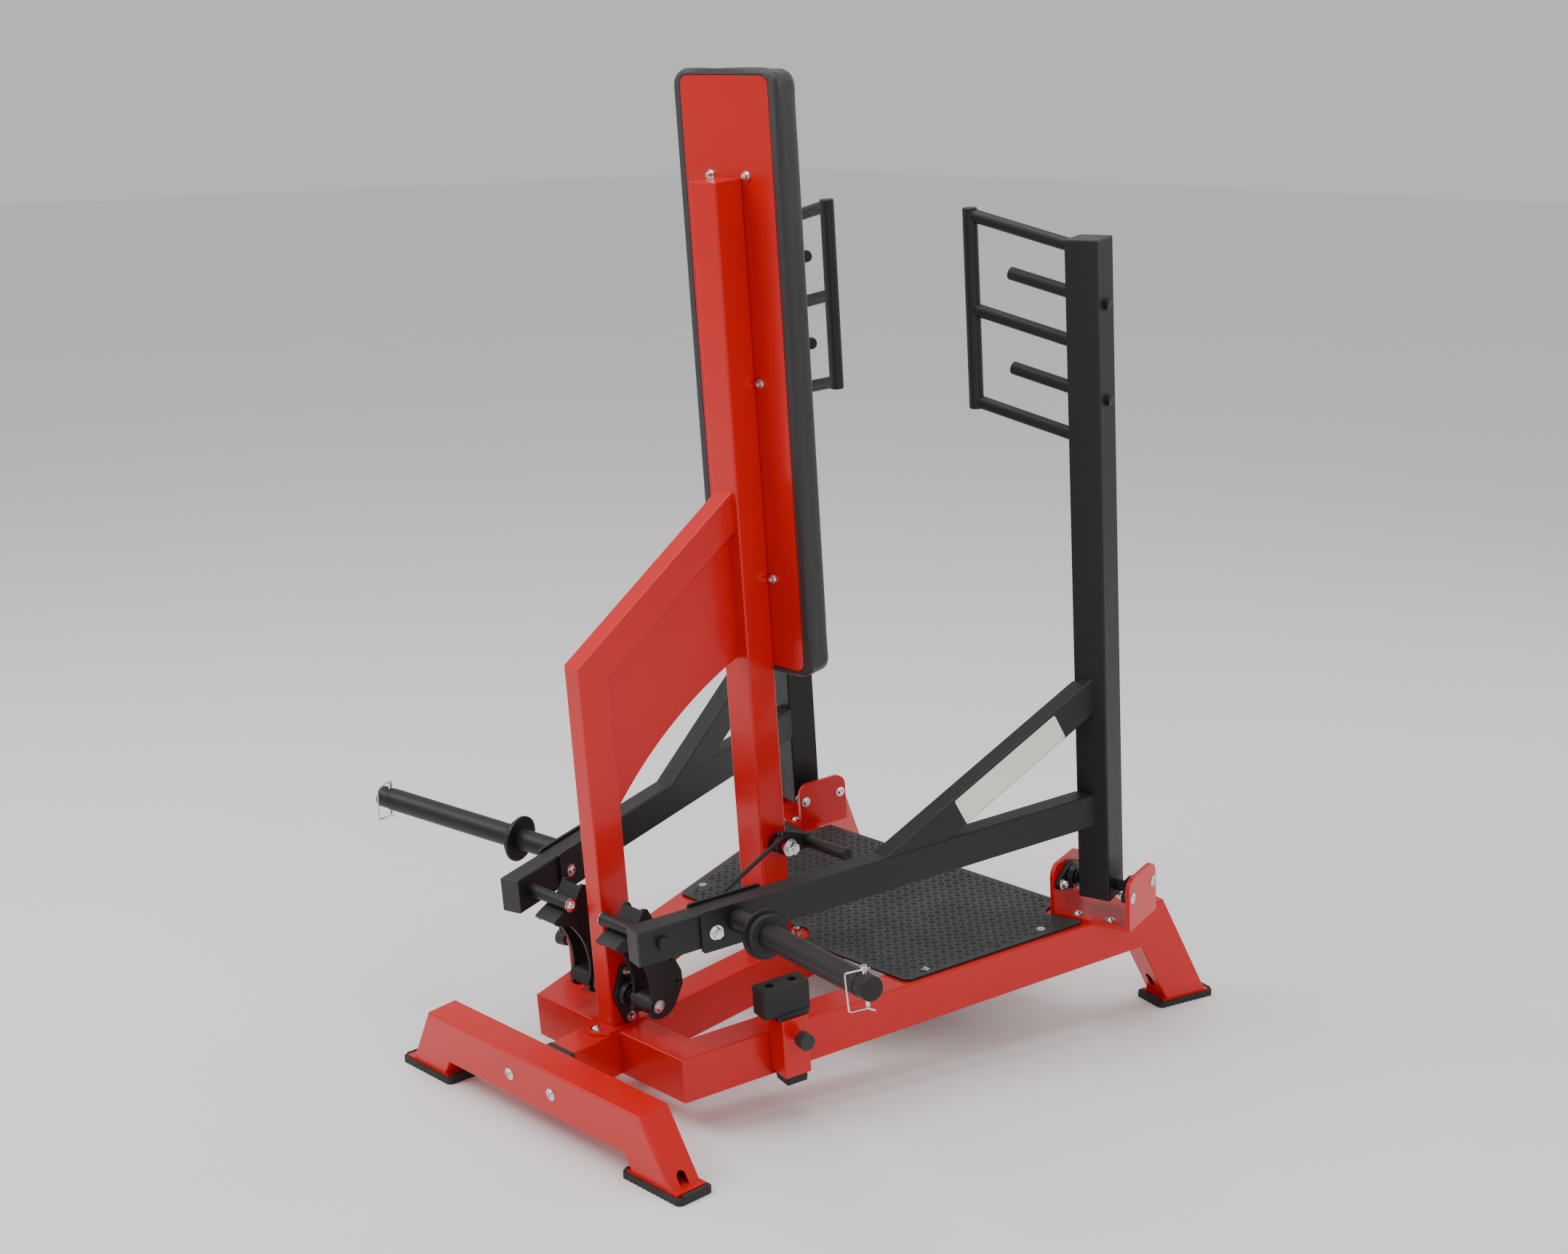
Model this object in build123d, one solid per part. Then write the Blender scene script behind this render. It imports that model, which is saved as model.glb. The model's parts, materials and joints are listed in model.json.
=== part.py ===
"""Plate-loaded standing chest press with a foot-released catch.

The machine is laid out in its own bench frame: +X forward (the way the user faces),
+Y to the user's left, +Z square to the base tubes.  It stands leaning back, so every
welded part is turned into the floor frame at the end, where the user faces -Y and the
floor is Z = 0.  Left-hand pieces are modelled and mirrored to the right.
"""
import os
from math import cos, hypot, radians, sin, tan

from build123d import *

# ---------------------------------------------------------------- stance
LEAN = 5.0                   # lean-back angle of the whole machine
DATUM_HEIGHT = 7.6           # bench height of the leg-end plane below the back face
LEG_END_HEIGHT = 18.0        # floor height of the leg ends, over plate and rubber
DEPTH_SHIFT = 778.2          # moves the machine's box to the middle in Y

# ---------------------------------------------------------------- tube sizes
WALL = 3.0
BASE_W, BASE_H = 75.0, 100.0     # base tubes
POST = 75.0                      # square post and arm uprights
SLIM_W, SLIM_D = 47.0, 75.0      # column, brace and arm beams
CORNER = 4.0                     # outer corner radius of the tubes
BASE_TOP = 135.0
BASE_MID = BASE_TOP - BASE_H / 2

# ---------------------------------------------------------------- base
REAR_X = 37.5                    # centre line of the rear foot beam
REAR_MID = 90.0
REAR_CORNER_Y = 314.0            # where beam and splayed leg centre lines meet
REAR_SPLAY = 29.3                # leg angle from the vertical
CROSS_X = 247.0
SIDE_YAW = 14.57                 # side members spread towards the front
SIDE_START_Y = 205.0
SIDE_LENGTH = 1180.7
FRONT_RAKE = 24.5                # front legs, from the bench vertical
POST_X = 686.5
POST_TOP = 1820.0
TIE_X = 1215.0                   # tie tube under the front of the tread plate

# ---------------------------------------------------------------- column and brace
COLUMN_X = 244.0
FLANGE_TOP = 140.5
COLUMN_KNEE_Z = 908.5
BRACE_SLOPE = 30.6               # degrees above the bench horizontal

# ---------------------------------------------------------------- back pad
PANEL_X = 724.0
PANEL = (254.0, 1230.0, 5.0)     # width, height, thickness
PANEL_MID_Z = 1410.0
PAD = (300.0, 1260.0, 68.0)
PAD_GAP = 0.4

# ---------------------------------------------------------------- tread plate
TREAD_T = 5.0

# ---------------------------------------------------------------- press arms
ARM_X, ARM_Y = 1268.0, 480.0     # centre of the arm upright
ARM_YAW = -11.6
UPRIGHT_LOW, UPRIGHT_TOP = 188.0, 1650.0
PIVOT_X, PIVOT_Z = 8.0, 211.0    # in the arm's own frame
SHAFT_R = 12.5
RUNNING = 0.05                   # radial clearance of a shaft in its bearing
CHEEK_OUT, CHEEK_T, CHEEK_HALF = 97.5, 10.0, 68.5
CHEEK_TOP = 256.0
BEARING_BOLT = 52.0
BEAM_X, BEAM_Y = 145.3, 196.4    # rear end of the arm beam's centre line
BEAM_YAW = 14.18
BEAM_LENGTH = 1158.0
BEAM_MID = 402.0
BRACE_REF_S, BRACE_REF_Z, BRACE_TILT = 790.0, 503.0, 26.0
BRACE_D = 72.0
CLAMP_S = (135.0, 303.0)
CLAMP_Z = (356.0, 445.0)
CLAMP_T = 6.0
PLATE_AT = (903.0, 557.5)        # middle of the rating plate, along and above the beam
PLATE = (296.0, 63.0, 1.2)
CLAMP_BOLTS = (168.0, 270.0)
HORN_S, HORN_Z, HORN_TILT = 218.0, 405.0, 5.84
HORN_R, HORN_END = 25.0, 537.0
HORN_SEAT = (159.5, 506.0)       # full-size length for the discs; 1 mm smaller beyond it
COLLAR_AT, COLLAR_R = 141.0, 51.0
LOCK_PIN_AT, LOCK_PIN_R = 515.0, 4.0
GRIP_R, GRIP_IN, GRIP_SLOPE = 16.0, -275.0, -0.25
CROSS_GRIP_R = 14.0
CATCH_PIN = (187.0, 405.0)
CATCH_PIN_R = 13.5

# ---------------------------------------------------------------- catch and pedal
SHAFT = (248.0, 207.0)           # catch shaft, X and Z
LEVER_Y = (70.0, 125.0)          # middles of the two lever plates of a pair
LEVER_T = 8.0
PEDAL_AXIS = (687.0, 397.0)
PEDAL_BAR = (755.0, 384.0)
PEDAL_EYE = (680.0, 424.0)
CATCH_EYE = (283.0, 290.0)
ROD_Y, ROD_R = 80.0, 5.0

# ---------------------------------------------------------------- arm stops
STOP_S = 234.0                   # distance of the sleeve along the side member
STOP_OFF = 31.5                  # sleeve centre outside the member's outer face
SLEEVE = (62.0, 5.8)             # outer size and wall
SLEEVE_Z = (53.0, 183.0)
PULL_Z = 146.0


# ================================================================ helpers
def bar(start, end, across, width, depth, wall=WALL, corner=CORNER, grow=0.0):
    """Rectangular tube between two points; width lies along the direction across."""
    start, end = Vector(*start), Vector(*end)
    way = (end - start).normalized()
    start = start - way * grow
    end = end + way * grow
    plane = Plane(origin=start, x_dir=across, z_dir=way)
    section = RectangleRounded(width, depth, corner)
    if wall:
        section -= RectangleRounded(width - 2 * wall, depth - 2 * wall, max(corner - wall, 0.5))
    return extrude(plane * section, (end - start).length)


def rod(start, end, radius, bore=0.0):
    """Round bar or tube between two points."""
    start, end = Vector(*start), Vector(*end)
    plane = Plane(origin=start, z_dir=(end - start).normalized())
    section = Circle(radius)
    if bore:
        section -= Circle(bore)
    return extrude(plane * section, (end - start).length)


def keep(part, point, normal):
    """The part of a solid on the side of a plane that its normal points to."""
    return split(part, bisect_by=Plane(origin=point, z_dir=normal), keep=Keep.TOP)


def box(low, high):
    """Block between two corners."""
    size = [b - a for a, b in zip(low, high)]
    middle = [(a + b) / 2 for a, b in zip(low, high)]
    return Pos(*middle) * Box(*size)


def plate_xz(outline, y, thickness):
    """Plate whose face is drawn in X and Z, centred on y."""
    plane = Plane(origin=(0, y + thickness / 2, 0), x_dir=(1, 0, 0), z_dir=(0, -1, 0))
    return extrude(plane * outline, thickness)


def button_screw(place, radius=9.0, length=0.0):
    """Dome head with a hexagon socket on a washer; the head points along the place's Z."""
    washer = Pos(0, 0, 0.8) * Cylinder(radius * 1.45, 1.6)
    height = radius * 0.62
    ball = (radius ** 2 + height ** 2) / (2 * height)
    dome = Pos(0, 0, 1.6 + height - ball) * Sphere(ball)
    dome &= Pos(0, 0, 1.6 + height / 2) * Cylinder(radius + 1, height)
    socket = Pos(0, 0, 1.6 + height * 0.4) * extrude(RegularPolygon(radius * 0.52, 6), height)
    screw = washer + (dome - socket)
    if length:
        screw += Pos(0, 0, -length / 2) * Cylinder(radius * 0.55, length)
    return place * screw


def hex_screw(place, across=17.0, length=0.0):
    """Hexagon head on a washer; the head points along the place's Z."""
    washer = Pos(0, 0, 0.9) * Cylinder(across * 0.82, 1.8)
    head = Pos(0, 0, 1.8) * extrude(RegularPolygon(across / 2, 6, major_radius=False), across * 0.6)
    stud = Pos(0, 0, 1.8 + across * 0.6 + 1.5) * Cylinder(across * 0.28, 3.0)
    screw = washer + head + stud
    if length:
        screw += Pos(0, 0, -length / 2) * Cylinder(across * 0.3, length)
    return place * screw


def facing(point, way):
    """Location at a point with its Z along way."""
    return Location(Plane(origin=point, z_dir=way))


def group(*parts):
    """Separate solids that share one node."""
    solids = []
    for part in parts:
        solids.extend(part.solids())
    return Compound(children=solids)


def to_right(part):
    """Mirror image on the user's right."""
    return mirror(part, about=Plane.XZ)


def both(part):
    """A left-hand part and its mirror image, as one node."""
    return group(part, to_right(part))


def stand():
    """Location that leans the bench frame back and sets it on the floor."""
    floor = Location((0, DEPTH_SHIFT, LEG_END_HEIGHT))
    lean = Location((0, 0, 0), (-LEAN, 0, 0))
    datum = Location((0, 0, -DATUM_HEIGHT))
    turn = Location((0, 0, 0), (0, 0, -90))
    return floor * lean * datum * turn


# ================================================================ base frame
def bench_floor(x):
    """Bench height of the leg-end plane at a distance x."""
    return DATUM_HEIGHT - x * tan(radians(LEAN))


def cut_level(part, height=0.0):
    """Cut a bench part level with the floor, height above the leg ends."""
    normal = (sin(radians(LEAN)), 0, cos(radians(LEAN)))
    return keep(part, (0, 0, DATUM_HEIGHT + height / cos(radians(LEAN))), normal)


def rear_beam():
    """Rear foot beam, mitred at both ends for the splayed legs."""
    beam = bar((REAR_X, -400, REAR_MID), (REAR_X, 400, REAR_MID), (1, 0, 0), BASE_W, BASE_H)
    leg = radians(REAR_SPLAY)
    for side in (1, -1):
        inward = (0, -side * (1 + sin(leg)), cos(leg))
        beam = keep(beam, (REAR_X, side * REAR_CORNER_Y, REAR_MID), inward)
    return beam


def rear_leg():
    """Splayed left leg of the rear foot beam, with an arched hole over its foot bolt."""
    angle = radians(REAR_SPLAY)
    way = Vector(0, sin(angle), -cos(angle))
    corner = Vector(REAR_X, REAR_CORNER_Y, REAR_MID)
    leg = bar(corner, corner + way * 150, (1, 0, 0), BASE_W, BASE_H, grow=90)
    leg = keep(leg, corner, (0, 1 + sin(angle), -cos(angle)))
    leg = cut_level(leg)
    low = bench_floor(REAR_X)
    arch = rod((REAR_X, 375, low + 16), (REAR_X, 440, low + 16), 11)
    arch += box((REAR_X - 11, 375, low - 20), (REAR_X + 11, 440, low + 16))
    return leg - arch


def side_line(s, off=0.0, z=BASE_MID):
    """Point on the left side member, s along it and off outside its outer face."""
    yaw = radians(SIDE_YAW)
    along = Vector(cos(yaw), sin(yaw), 0)
    out = Vector(-sin(yaw), cos(yaw), 0)
    outer = Vector(CROSS_X, SIDE_START_Y, 0) + out * (BASE_W / 2)
    start = outer - along * 29.8
    return start + along * s + out * off + Vector(0, 0, z)


def side_frame():
    """Location at the start of the left side member's outer face, X along it, Y outward."""
    return Location(side_line(0, 0, 0), (0, 0, SIDE_YAW))


def cross_member():
    """Rear cross member of the base, mitred to the side members."""
    yaw = radians(SIDE_YAW)
    tube = bar((CROSS_X, -300, BASE_MID), (CROSS_X, 300, BASE_MID), (1, 0, 0), BASE_W, BASE_H)
    for side in (1, -1):
        corner = (CROSS_X, side * SIDE_START_Y, BASE_MID)
        tube = keep(tube, corner, (-cos(yaw), -side * (1 + sin(yaw)), 0))
    return tube


def side_member():
    """Left side member, mitred to the cross member and to the front leg."""
    yaw, rake = radians(SIDE_YAW), radians(FRONT_RAKE)
    along = Vector(cos(yaw), sin(yaw), 0)
    start = Vector(CROSS_X, SIDE_START_Y, BASE_MID)
    end = start + along * SIDE_LENGTH
    tube = bar(start, end, (-sin(yaw), cos(yaw), 0), BASE_W, BASE_H, grow=90)
    tube = keep(tube, start, (cos(yaw), 1 + sin(yaw), 0))
    down = along * sin(rake) - Vector(0, 0, cos(rake))
    return keep(tube, end, (along + down) * -1)


def front_leg():
    """Left front leg, from the side member's mitre down to its foot plate."""
    yaw, rake = radians(SIDE_YAW), radians(FRONT_RAKE)
    along = Vector(cos(yaw), sin(yaw), 0)
    corner = Vector(CROSS_X, SIDE_START_Y, BASE_MID) + along * SIDE_LENGTH
    down = along * sin(rake) - Vector(0, 0, cos(rake))
    leg = bar(corner, corner + down * 330, (-sin(yaw), cos(yaw), 0), BASE_W, BASE_H, grow=90)
    leg = keep(leg, corner, along + down)
    leg = cut_level(leg)
    hole = corner + down * 185
    slot = rod(hole - along * 120, hole, 11)
    slot += Pos(0, 0, 12) * slot
    return leg - slot


def front_tie():
    """Tie tube between the side members, under the front of the tread plate."""
    yaw = radians(SIDE_YAW)
    tube = bar((TIE_X, -600, BASE_TOP - 25), (TIE_X, 600, BASE_TOP - 25), (1, 0, 0), 50, 50)
    inner = side_line(0, -BASE_W)
    for side in (1, -1):
        tube = keep(tube, (inner.X, side * inner.Y, 0), (sin(yaw), -side * cos(yaw), 0))
    return tube


def centre_beam():
    """Beam under the tread plate that carries the post."""
    start = CROSS_X + BASE_W / 2
    end = TIE_X - 25
    return bar((start, 0, BASE_MID), (end, 0, BASE_MID), (0, 1, 0), BASE_W, BASE_H)


def stub_beam():
    """Short beam from the cross member back to the rear foot beam."""
    return bar((90, 0, BASE_MID), (CROSS_X - BASE_W / 2, 0, BASE_MID), (0, 1, 0), BASE_W, BASE_H)


def stub_flange():
    """Black end flange between the stub and the rear foot beam."""
    return bar((75, 0, BASE_MID), (90, 0, BASE_MID), (0, 1, 0), BASE_W + 4, BASE_H + 2, wall=0)


def foot_spots():
    """Floor-frame centre, yaw and length of each foot on the left side."""
    low = bench_floor(REAR_X)
    rear = stand() * Location((REAR_X, 366, low))
    along = (1246 + 1360.6) / 2
    front_x = side_line(along, -BASE_W / 2).X
    front = stand() * Location(side_line(along, -BASE_W / 2, bench_floor(front_x)))
    return {"rear": (rear.position, 0.0, 172.0), "front": (front.position, SIDE_YAW, 158.0)}


def foot_plates():
    """Thin steel plates welded under the legs."""
    plates = []
    for centre, yaw, length in foot_spots().values():
        size = (length - 26, 78) if yaw == 0 else (78, length - 26)
        plate = Box(size[0], size[1], 4.5)
        place = Location((centre.X, centre.Y, LEG_END_HEIGHT - 2.25), (0, 0, yaw))
        plates.append(place * plate)
    return group(*plates, *[mirror(plate, about=Plane.YZ) for plate in plates])


def rubber_foot(length, width):
    """Ribbed rubber foot with a rounded lip at each end, lying along X on the floor."""
    height = LEG_END_HEIGHT - 4.5
    base = extrude(RectangleRounded(length, width, 12), height)
    for end in (1, -1):
        lip = Pos(end * (length / 2 - 6), 0, height) * Rot(90, 0, 0) * Cylinder(5.5, width - 24)
        base += lip
    pitch = 13.0
    count = int((length - 30) / pitch)
    for rib in range(count + 1):
        x = (rib - count / 2) * pitch
        for side in (1, -1):
            base -= Pos(x, side * width / 2, 1.5) * Box(5, 12, 3)
    return base


def rubber_feet():
    """The four rubber feet."""
    feet = []
    for centre, yaw, length in foot_spots().values():
        turn = yaw if yaw == 0 else yaw + 90
        place = Location((centre.X, centre.Y, 0), (0, 0, turn))
        feet.append(place * rubber_foot(length, 90))
    return group(*feet, *[mirror(foot, about=Plane.YZ) for foot in feet])


# ================================================================ column, post and pad
def column():
    """Upright tube behind the post, with its welded foot flange."""
    rise = radians(BRACE_SLOPE)
    base = (COLUMN_X, 0, FLANGE_TOP)
    knee = Vector(COLUMN_X, 0, COLUMN_KNEE_Z)
    tube = bar(base, (COLUMN_X, 0, COLUMN_KNEE_Z + 80), (1, 0, 0), SLIM_D, SLIM_W)
    tube = keep(tube, knee, (-cos(rise), 0, -1 - sin(rise)))
    opening = rod((SHAFT[0], -40, SHAFT[1]), (SHAFT[0], 40, SHAFT[1]), SHAFT_R + 4)
    for z in (SHAFT[1] - BEARING_BOLT, SHAFT[1] + BEARING_BOLT):
        opening += rod((SHAFT[0], -40, z), (SHAFT[0], 40, z), 6)
    tube -= opening
    flange = extrude(Plane.XY.offset(BASE_TOP) * Pos(COLUMN_X, 0) * SlotOverall(172, 74),
                     FLANGE_TOP - BASE_TOP)
    return flange + tube


def diagonal_brace():
    """Brace from the column's knee up to the post."""
    rise = radians(BRACE_SLOPE)
    way = Vector(cos(rise), 0, sin(rise))
    knee = Vector(COLUMN_X, 0, COLUMN_KNEE_Z)
    tube = bar(knee, knee + way * 520, (0, 1, 0), SLIM_W, SLIM_D, grow=90)
    tube = keep(tube, knee, (cos(rise), 0, 1 + sin(rise)))
    return keep(tube, (POST_X - POST / 2, 0, 0), (-1, 0, 0))


def gusset():
    """Curved web plate in the angle of the column, brace and post."""
    rise = radians(BRACE_SLOPE)
    front = COLUMN_X + SLIM_D / 2
    back = POST_X - POST / 2
    under = COLUMN_KNEE_Z - SLIM_D / 2 / cos(rise)
    knee = (front, under + (front - COLUMN_X) * tan(rise))
    top = (back, under + (back - COLUMN_X) * tan(rise))
    edges = Polyline((front, 590), knee, top, (back, 826))
    edges += ThreePointArc((back, 826), (470, 744), (front, 590))
    return plate_xz(make_face(edges), 0, 6)


def post():
    """Main post that carries the back pad."""
    return bar((POST_X, 0, BASE_TOP), (POST_X, 0, POST_TOP), (1, 0, 0), POST, POST)


def tube_cap(width, depth, plug=14.0):
    """Plastic cap for the open end of a tube; the tube's end is at Z = 0."""
    top = extrude(RectangleRounded(width, depth, CORNER), 4)
    top = chamfer(top.faces().sort_by(Axis.Z)[-1].edges(), 1.2)
    inset = 2 * WALL + 0.4
    insert = extrude(RectangleRounded(width - inset, depth - inset, 1), -plug)
    return top + insert


def pad_panel():
    """Painted backing panel of the pad."""
    width, height, thick = PANEL
    plane = Plane(origin=(PANEL_X, 0, PANEL_MID_Z), x_dir=(0, 1, 0), z_dir=(1, 0, 0))
    return extrude(plane * RectangleRounded(width, height, 22), thick)


def back_pad():
    """Plain body of the back pad, with a shallow pocket for the panel."""
    width, height, deep = PAD
    plane = Plane(origin=(PANEL_X + 1, 0, PANEL_MID_Z), x_dir=(0, 1, 0), z_dir=(1, 0, 0))
    pad = extrude(plane * RectangleRounded(width, height, 38), deep)
    pad = fillet(pad.faces().sort_by(Axis.X)[-1].edges(), 14)
    pocket = Plane(origin=(PANEL_X - 1, 0, PANEL_MID_Z), x_dir=(0, 1, 0), z_dir=(1, 0, 0))
    hollow = RectangleRounded(PANEL[0] + 2 * PAD_GAP, PANEL[1] + 2 * PAD_GAP, 22)
    return pad - extrude(pocket * hollow, PANEL[2] + 1 + PAD_GAP)


def pad_screws():
    """Screws through the panel beside the post."""
    return group(*[
        hex_screw(facing((PANEL_X, y, z), (-1, 0, 0)), 13)
        for y in (52, -52) for z in (990, 1408, 1829)
    ])


# ================================================================ tread plate
def tread_plate():
    """Non-slip plate over the base, notched round the post foot and the arm brackets."""
    half = [
        (744, 0), (744, 353), (756, 365), (1192, 477), (1203, 471), (1186, 388),
        (1196, 376), (1257, 364), (1257, 0),
    ]
    outline = make_face(Polyline(*half, close=True))
    plate = extrude(Plane.XY.offset(BASE_TOP) * outline, TREAD_T)
    plate += to_right(plate)
    notch = extrude(Plane.XY.offset(BASE_TOP - 1) * Pos(744, 0) * SlotOverall(104, 88), TREAD_T + 2)
    for x, y in TREAD_SCREWS:
        plate -= Pos(x, y, BASE_TOP + TREAD_T / 2) * Cylinder(4.5, TREAD_T + 1)
        plate -= Pos(x, y, BASE_TOP + TREAD_T - 1.5) * Cone(6.4, 9.5, 3.1)
    return plate - notch


TREAD_SCREWS = [(815, 0), (811, 355), (811, -355), (1116, 427), (1116, -427)]


def tread_screws():
    """Countersunk screws that hold the tread plate."""
    screws = []
    for x, y in TREAD_SCREWS:
        head = Pos(x, y, BASE_TOP + TREAD_T - 1.5) * Cone(6.1, 9.2, 3.0)
        shank = Pos(x, y, BASE_TOP + 1.2) * Cylinder(4.2, 2.4)
        socket = Pos(x, y, BASE_TOP + TREAD_T) * extrude(RegularPolygon(3.4, 6), -2.5)
        screws.append((head + shank) - socket)
    return group(*screws)


# ================================================================ arm pivots
def arm_frame():
    """Location of the left arm upright on the bench, X forward along the arm."""
    return Location((ARM_X, ARM_Y, 0), (0, 0, ARM_YAW))


def pivot_bracket():
    """U bracket that carries the left arm's two bearings."""
    low, high = -CHEEK_HALF, CHEEK_HALF
    base = box((low, -CHEEK_OUT, BASE_TOP), (high, CHEEK_OUT, BASE_TOP + 10))
    part = Pos(PIVOT_X, 0, 0) * base
    outline = box((low, -CHEEK_T / 2, BASE_TOP), (high, CHEEK_T / 2, CHEEK_TOP))
    tops = outline.edges().filter_by(Axis.Y).group_by(Axis.Z)[-1]
    cheek = fillet(tops, 28)
    for x in (-BEARING_BOLT, BEARING_BOLT):
        cheek -= rod((x, -20, PIVOT_Z), (x, 20, PIVOT_Z), 5.5)
    for side in (1, -1):
        part += Pos(PIVOT_X, side * (CHEEK_OUT - CHEEK_T / 2), 0) * cheek
    return arm_frame() * part


def flange_bearing():
    """Oval two-bolt flange bearing standing on the XY plane, bolts along X."""
    outline = make_hull(
        (Circle(33) + Pos(BEARING_BOLT, 0) * Circle(14) + Pos(-BEARING_BOLT, 0) * Circle(14)).edges()
    )
    flange = extrude(outline, 12)
    hub = Pos(0, 0, 12) * Cone(29, 26, 12, align=(Align.CENTER, Align.CENTER, Align.MIN))
    ring = Pos(0, 0, 24) * Cylinder(18, 6, align=(Align.CENTER, Align.CENTER, Align.MIN))
    unit = flange + hub + ring
    unit -= Pos(0, 0, 15) * Cylinder(SHAFT_R + RUNNING, 40)
    for x in (BEARING_BOLT, -BEARING_BOLT):
        unit -= Pos(x, 0, 6) * Cylinder(5.5, 14)
    return unit


def arm_bearings():
    """The two bearings inside the left bracket."""
    units = []
    inside = CHEEK_OUT - CHEEK_T
    for side in (1, -1):
        plane = Plane((PIVOT_X, side * inside, PIVOT_Z), x_dir=(1, 0, 0), z_dir=(0, -side, 0))
        units.append(arm_frame() * Location(plane) * flange_bearing())
    return group(*units)


def arm_bearing_bolts():
    """Bolts through the left bracket's cheeks and bearings, and its two base screws."""
    bolts = []
    for side in (1, -1):
        for x in (PIVOT_X - BEARING_BOLT, PIVOT_X + BEARING_BOLT):
            outer = arm_frame() * facing((x, side * CHEEK_OUT, PIVOT_Z), (0, side, 0))
            bolts.append(button_screw(outer, 8.5, CHEEK_T + 12))
            inner = arm_frame() * facing((x, side * (CHEEK_OUT - CHEEK_T - 12), PIVOT_Z), (0, -side, 0))
            bolts.append(hex_screw(inner, 15))
    for y in (40, -40):
        base = arm_frame() * facing((PIVOT_X - 50, y, BASE_TOP + 10), (0, 0, 1))
        bolts.append(button_screw(base, 8.5))
    return group(*bolts)


# ================================================================ catch bearings and pedal axle
def catch_bearings():
    """Flange bearings on both sides of the column."""
    unit = Location(
        Plane((SHAFT[0], SLIM_W / 2, SHAFT[1]), x_dir=(0, 0, 1), z_dir=(0, 1, 0))
    ) * flange_bearing()
    return both(unit)


def frame_screws():
    """Fasteners of the fixed frame: rear beam, column foot, bearings and pedal axle."""
    screws = [button_screw(facing((0, y, 91), (-1, 0, 0))) for y in (67, -67)]
    for x in (182, 306):
        screws.append(button_screw(facing((x, 0, FLANGE_TOP), (0, 0, 1)), 9))
    for side in (1, -1):
        for z in (SHAFT[1] - BEARING_BOLT, SHAFT[1] + BEARING_BOLT):
            spot = facing((SHAFT[0], side * (SLIM_W / 2 + 12), z), (0, side, 0))
            screws.append(hex_screw(spot, 14, 12))
    screws.append(hex_screw(facing((774, 0, BASE_TOP), (0, 0, 1)), 17))
    axle_end = facing((PEDAL_AXIS[0], -88, PEDAL_AXIS[1]), (0, -1, 0))
    screws.append(hex_screw(axle_end, 24))
    return group(*screws)


def pedal_axle():
    """Sleeve on the right face of the post that the pedal turns on."""
    x, z = PEDAL_AXIS
    return rod((x, -POST / 2, z), (x, -88, z), CATCH_PIN_R)


# ================================================================ press arm, left
def beam_frame():
    """Location of the left arm beam's rear end, X along the beam."""
    return Location((BEAM_X, BEAM_Y, 0), (0, 0, BEAM_YAW))


def behind_upright(part):
    """Cut a bench part at the rear face of the arm upright."""
    plane = arm_frame() * Location((-POST / 2, 0, 0))
    yaw = radians(ARM_YAW)
    return keep(part, plane.position, (-cos(yaw), -sin(yaw), 0))


def arm_upright():
    """Left arm upright."""
    tube = bar((0, 0, UPRIGHT_LOW), (0, 0, UPRIGHT_TOP), (1, 0, 0), POST, POST)
    tube -= rod((PIVOT_X, -50, PIVOT_Z), (PIVOT_X, 50, PIVOT_Z), SHAFT_R)
    return arm_frame() * tube


def arm_beam():
    """Left arm beam, with the catch pin's hole near its rear end."""
    start = beam_frame().position + Vector(0, 0, BEAM_MID)
    way = Vector(cos(radians(BEAM_YAW)), sin(radians(BEAM_YAW)), 0)
    across = (-sin(radians(BEAM_YAW)), cos(radians(BEAM_YAW)), 0)
    tube = bar(start, start + way * BEAM_LENGTH, across, SLIM_W, SLIM_D)
    tube = behind_upright(tube)
    hole = CATCH_PIN_R + RUNNING
    tube -= rod((CATCH_PIN[0], 120, CATCH_PIN[1]), (CATCH_PIN[0], 300, CATCH_PIN[1]), hole)
    for s in CLAMP_BOLTS:
        tube -= beam_frame() * rod((s, -50, 395), (s, 50, 395), 6.5)
    return tube


def arm_brace():
    """Left arm brace, from the beam up to the upright."""
    tilt = radians(BRACE_TILT)
    yaw = radians(BEAM_YAW)
    way = Vector(cos(tilt) * cos(yaw), cos(tilt) * sin(yaw), sin(tilt))
    middle = (beam_frame() * Location((BRACE_REF_S, 0, BRACE_REF_Z))).position
    across = (-sin(yaw), cos(yaw), 0)
    tube = bar(middle - way * 420, middle + way * 520, across, SLIM_W, BRACE_D)
    tube = keep(tube, (0, 0, BEAM_MID + SLIM_D / 2), (0, 0, 1))
    return behind_upright(tube)


def arm_caps():
    """Plastic caps on the top of the upright and the rear end of the beam."""
    top = arm_frame() * Location((0, 0, UPRIGHT_TOP)) * tube_cap(POST, POST)
    end = beam_frame() * Location(Plane((0, 0, BEAM_MID), x_dir=(0, 1, 0), z_dir=(-1, 0, 0)))
    return group(top, end * tube_cap(SLIM_W, SLIM_D))


def pivot_shaft():
    """Shaft welded through the upright's foot."""
    return arm_frame() * rod((PIVOT_X, -86, PIVOT_Z), (PIVOT_X, 86, PIVOT_Z), SHAFT_R)


def clamp_plates():
    """Doubler plates on both sides of the beam, round the horn."""
    length = CLAMP_S[1] - CLAMP_S[0]
    height = CLAMP_Z[1] - CLAMP_Z[0]
    middle = (sum(CLAMP_S) / 2, sum(CLAMP_Z) / 2)
    plates = []
    for side in (1, -1):
        outline = Pos(*middle) * RectangleRounded(length, height, 8)
        plate = plate_xz(outline, side * (SLIM_W + CLAMP_T) / 2, CLAMP_T)
        for s in CLAMP_BOLTS:
            plate -= rod((s, -50, 395), (s, 50, 395), 6.5)
        plates.append(beam_frame() * plate)
    return group(*plates)


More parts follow.
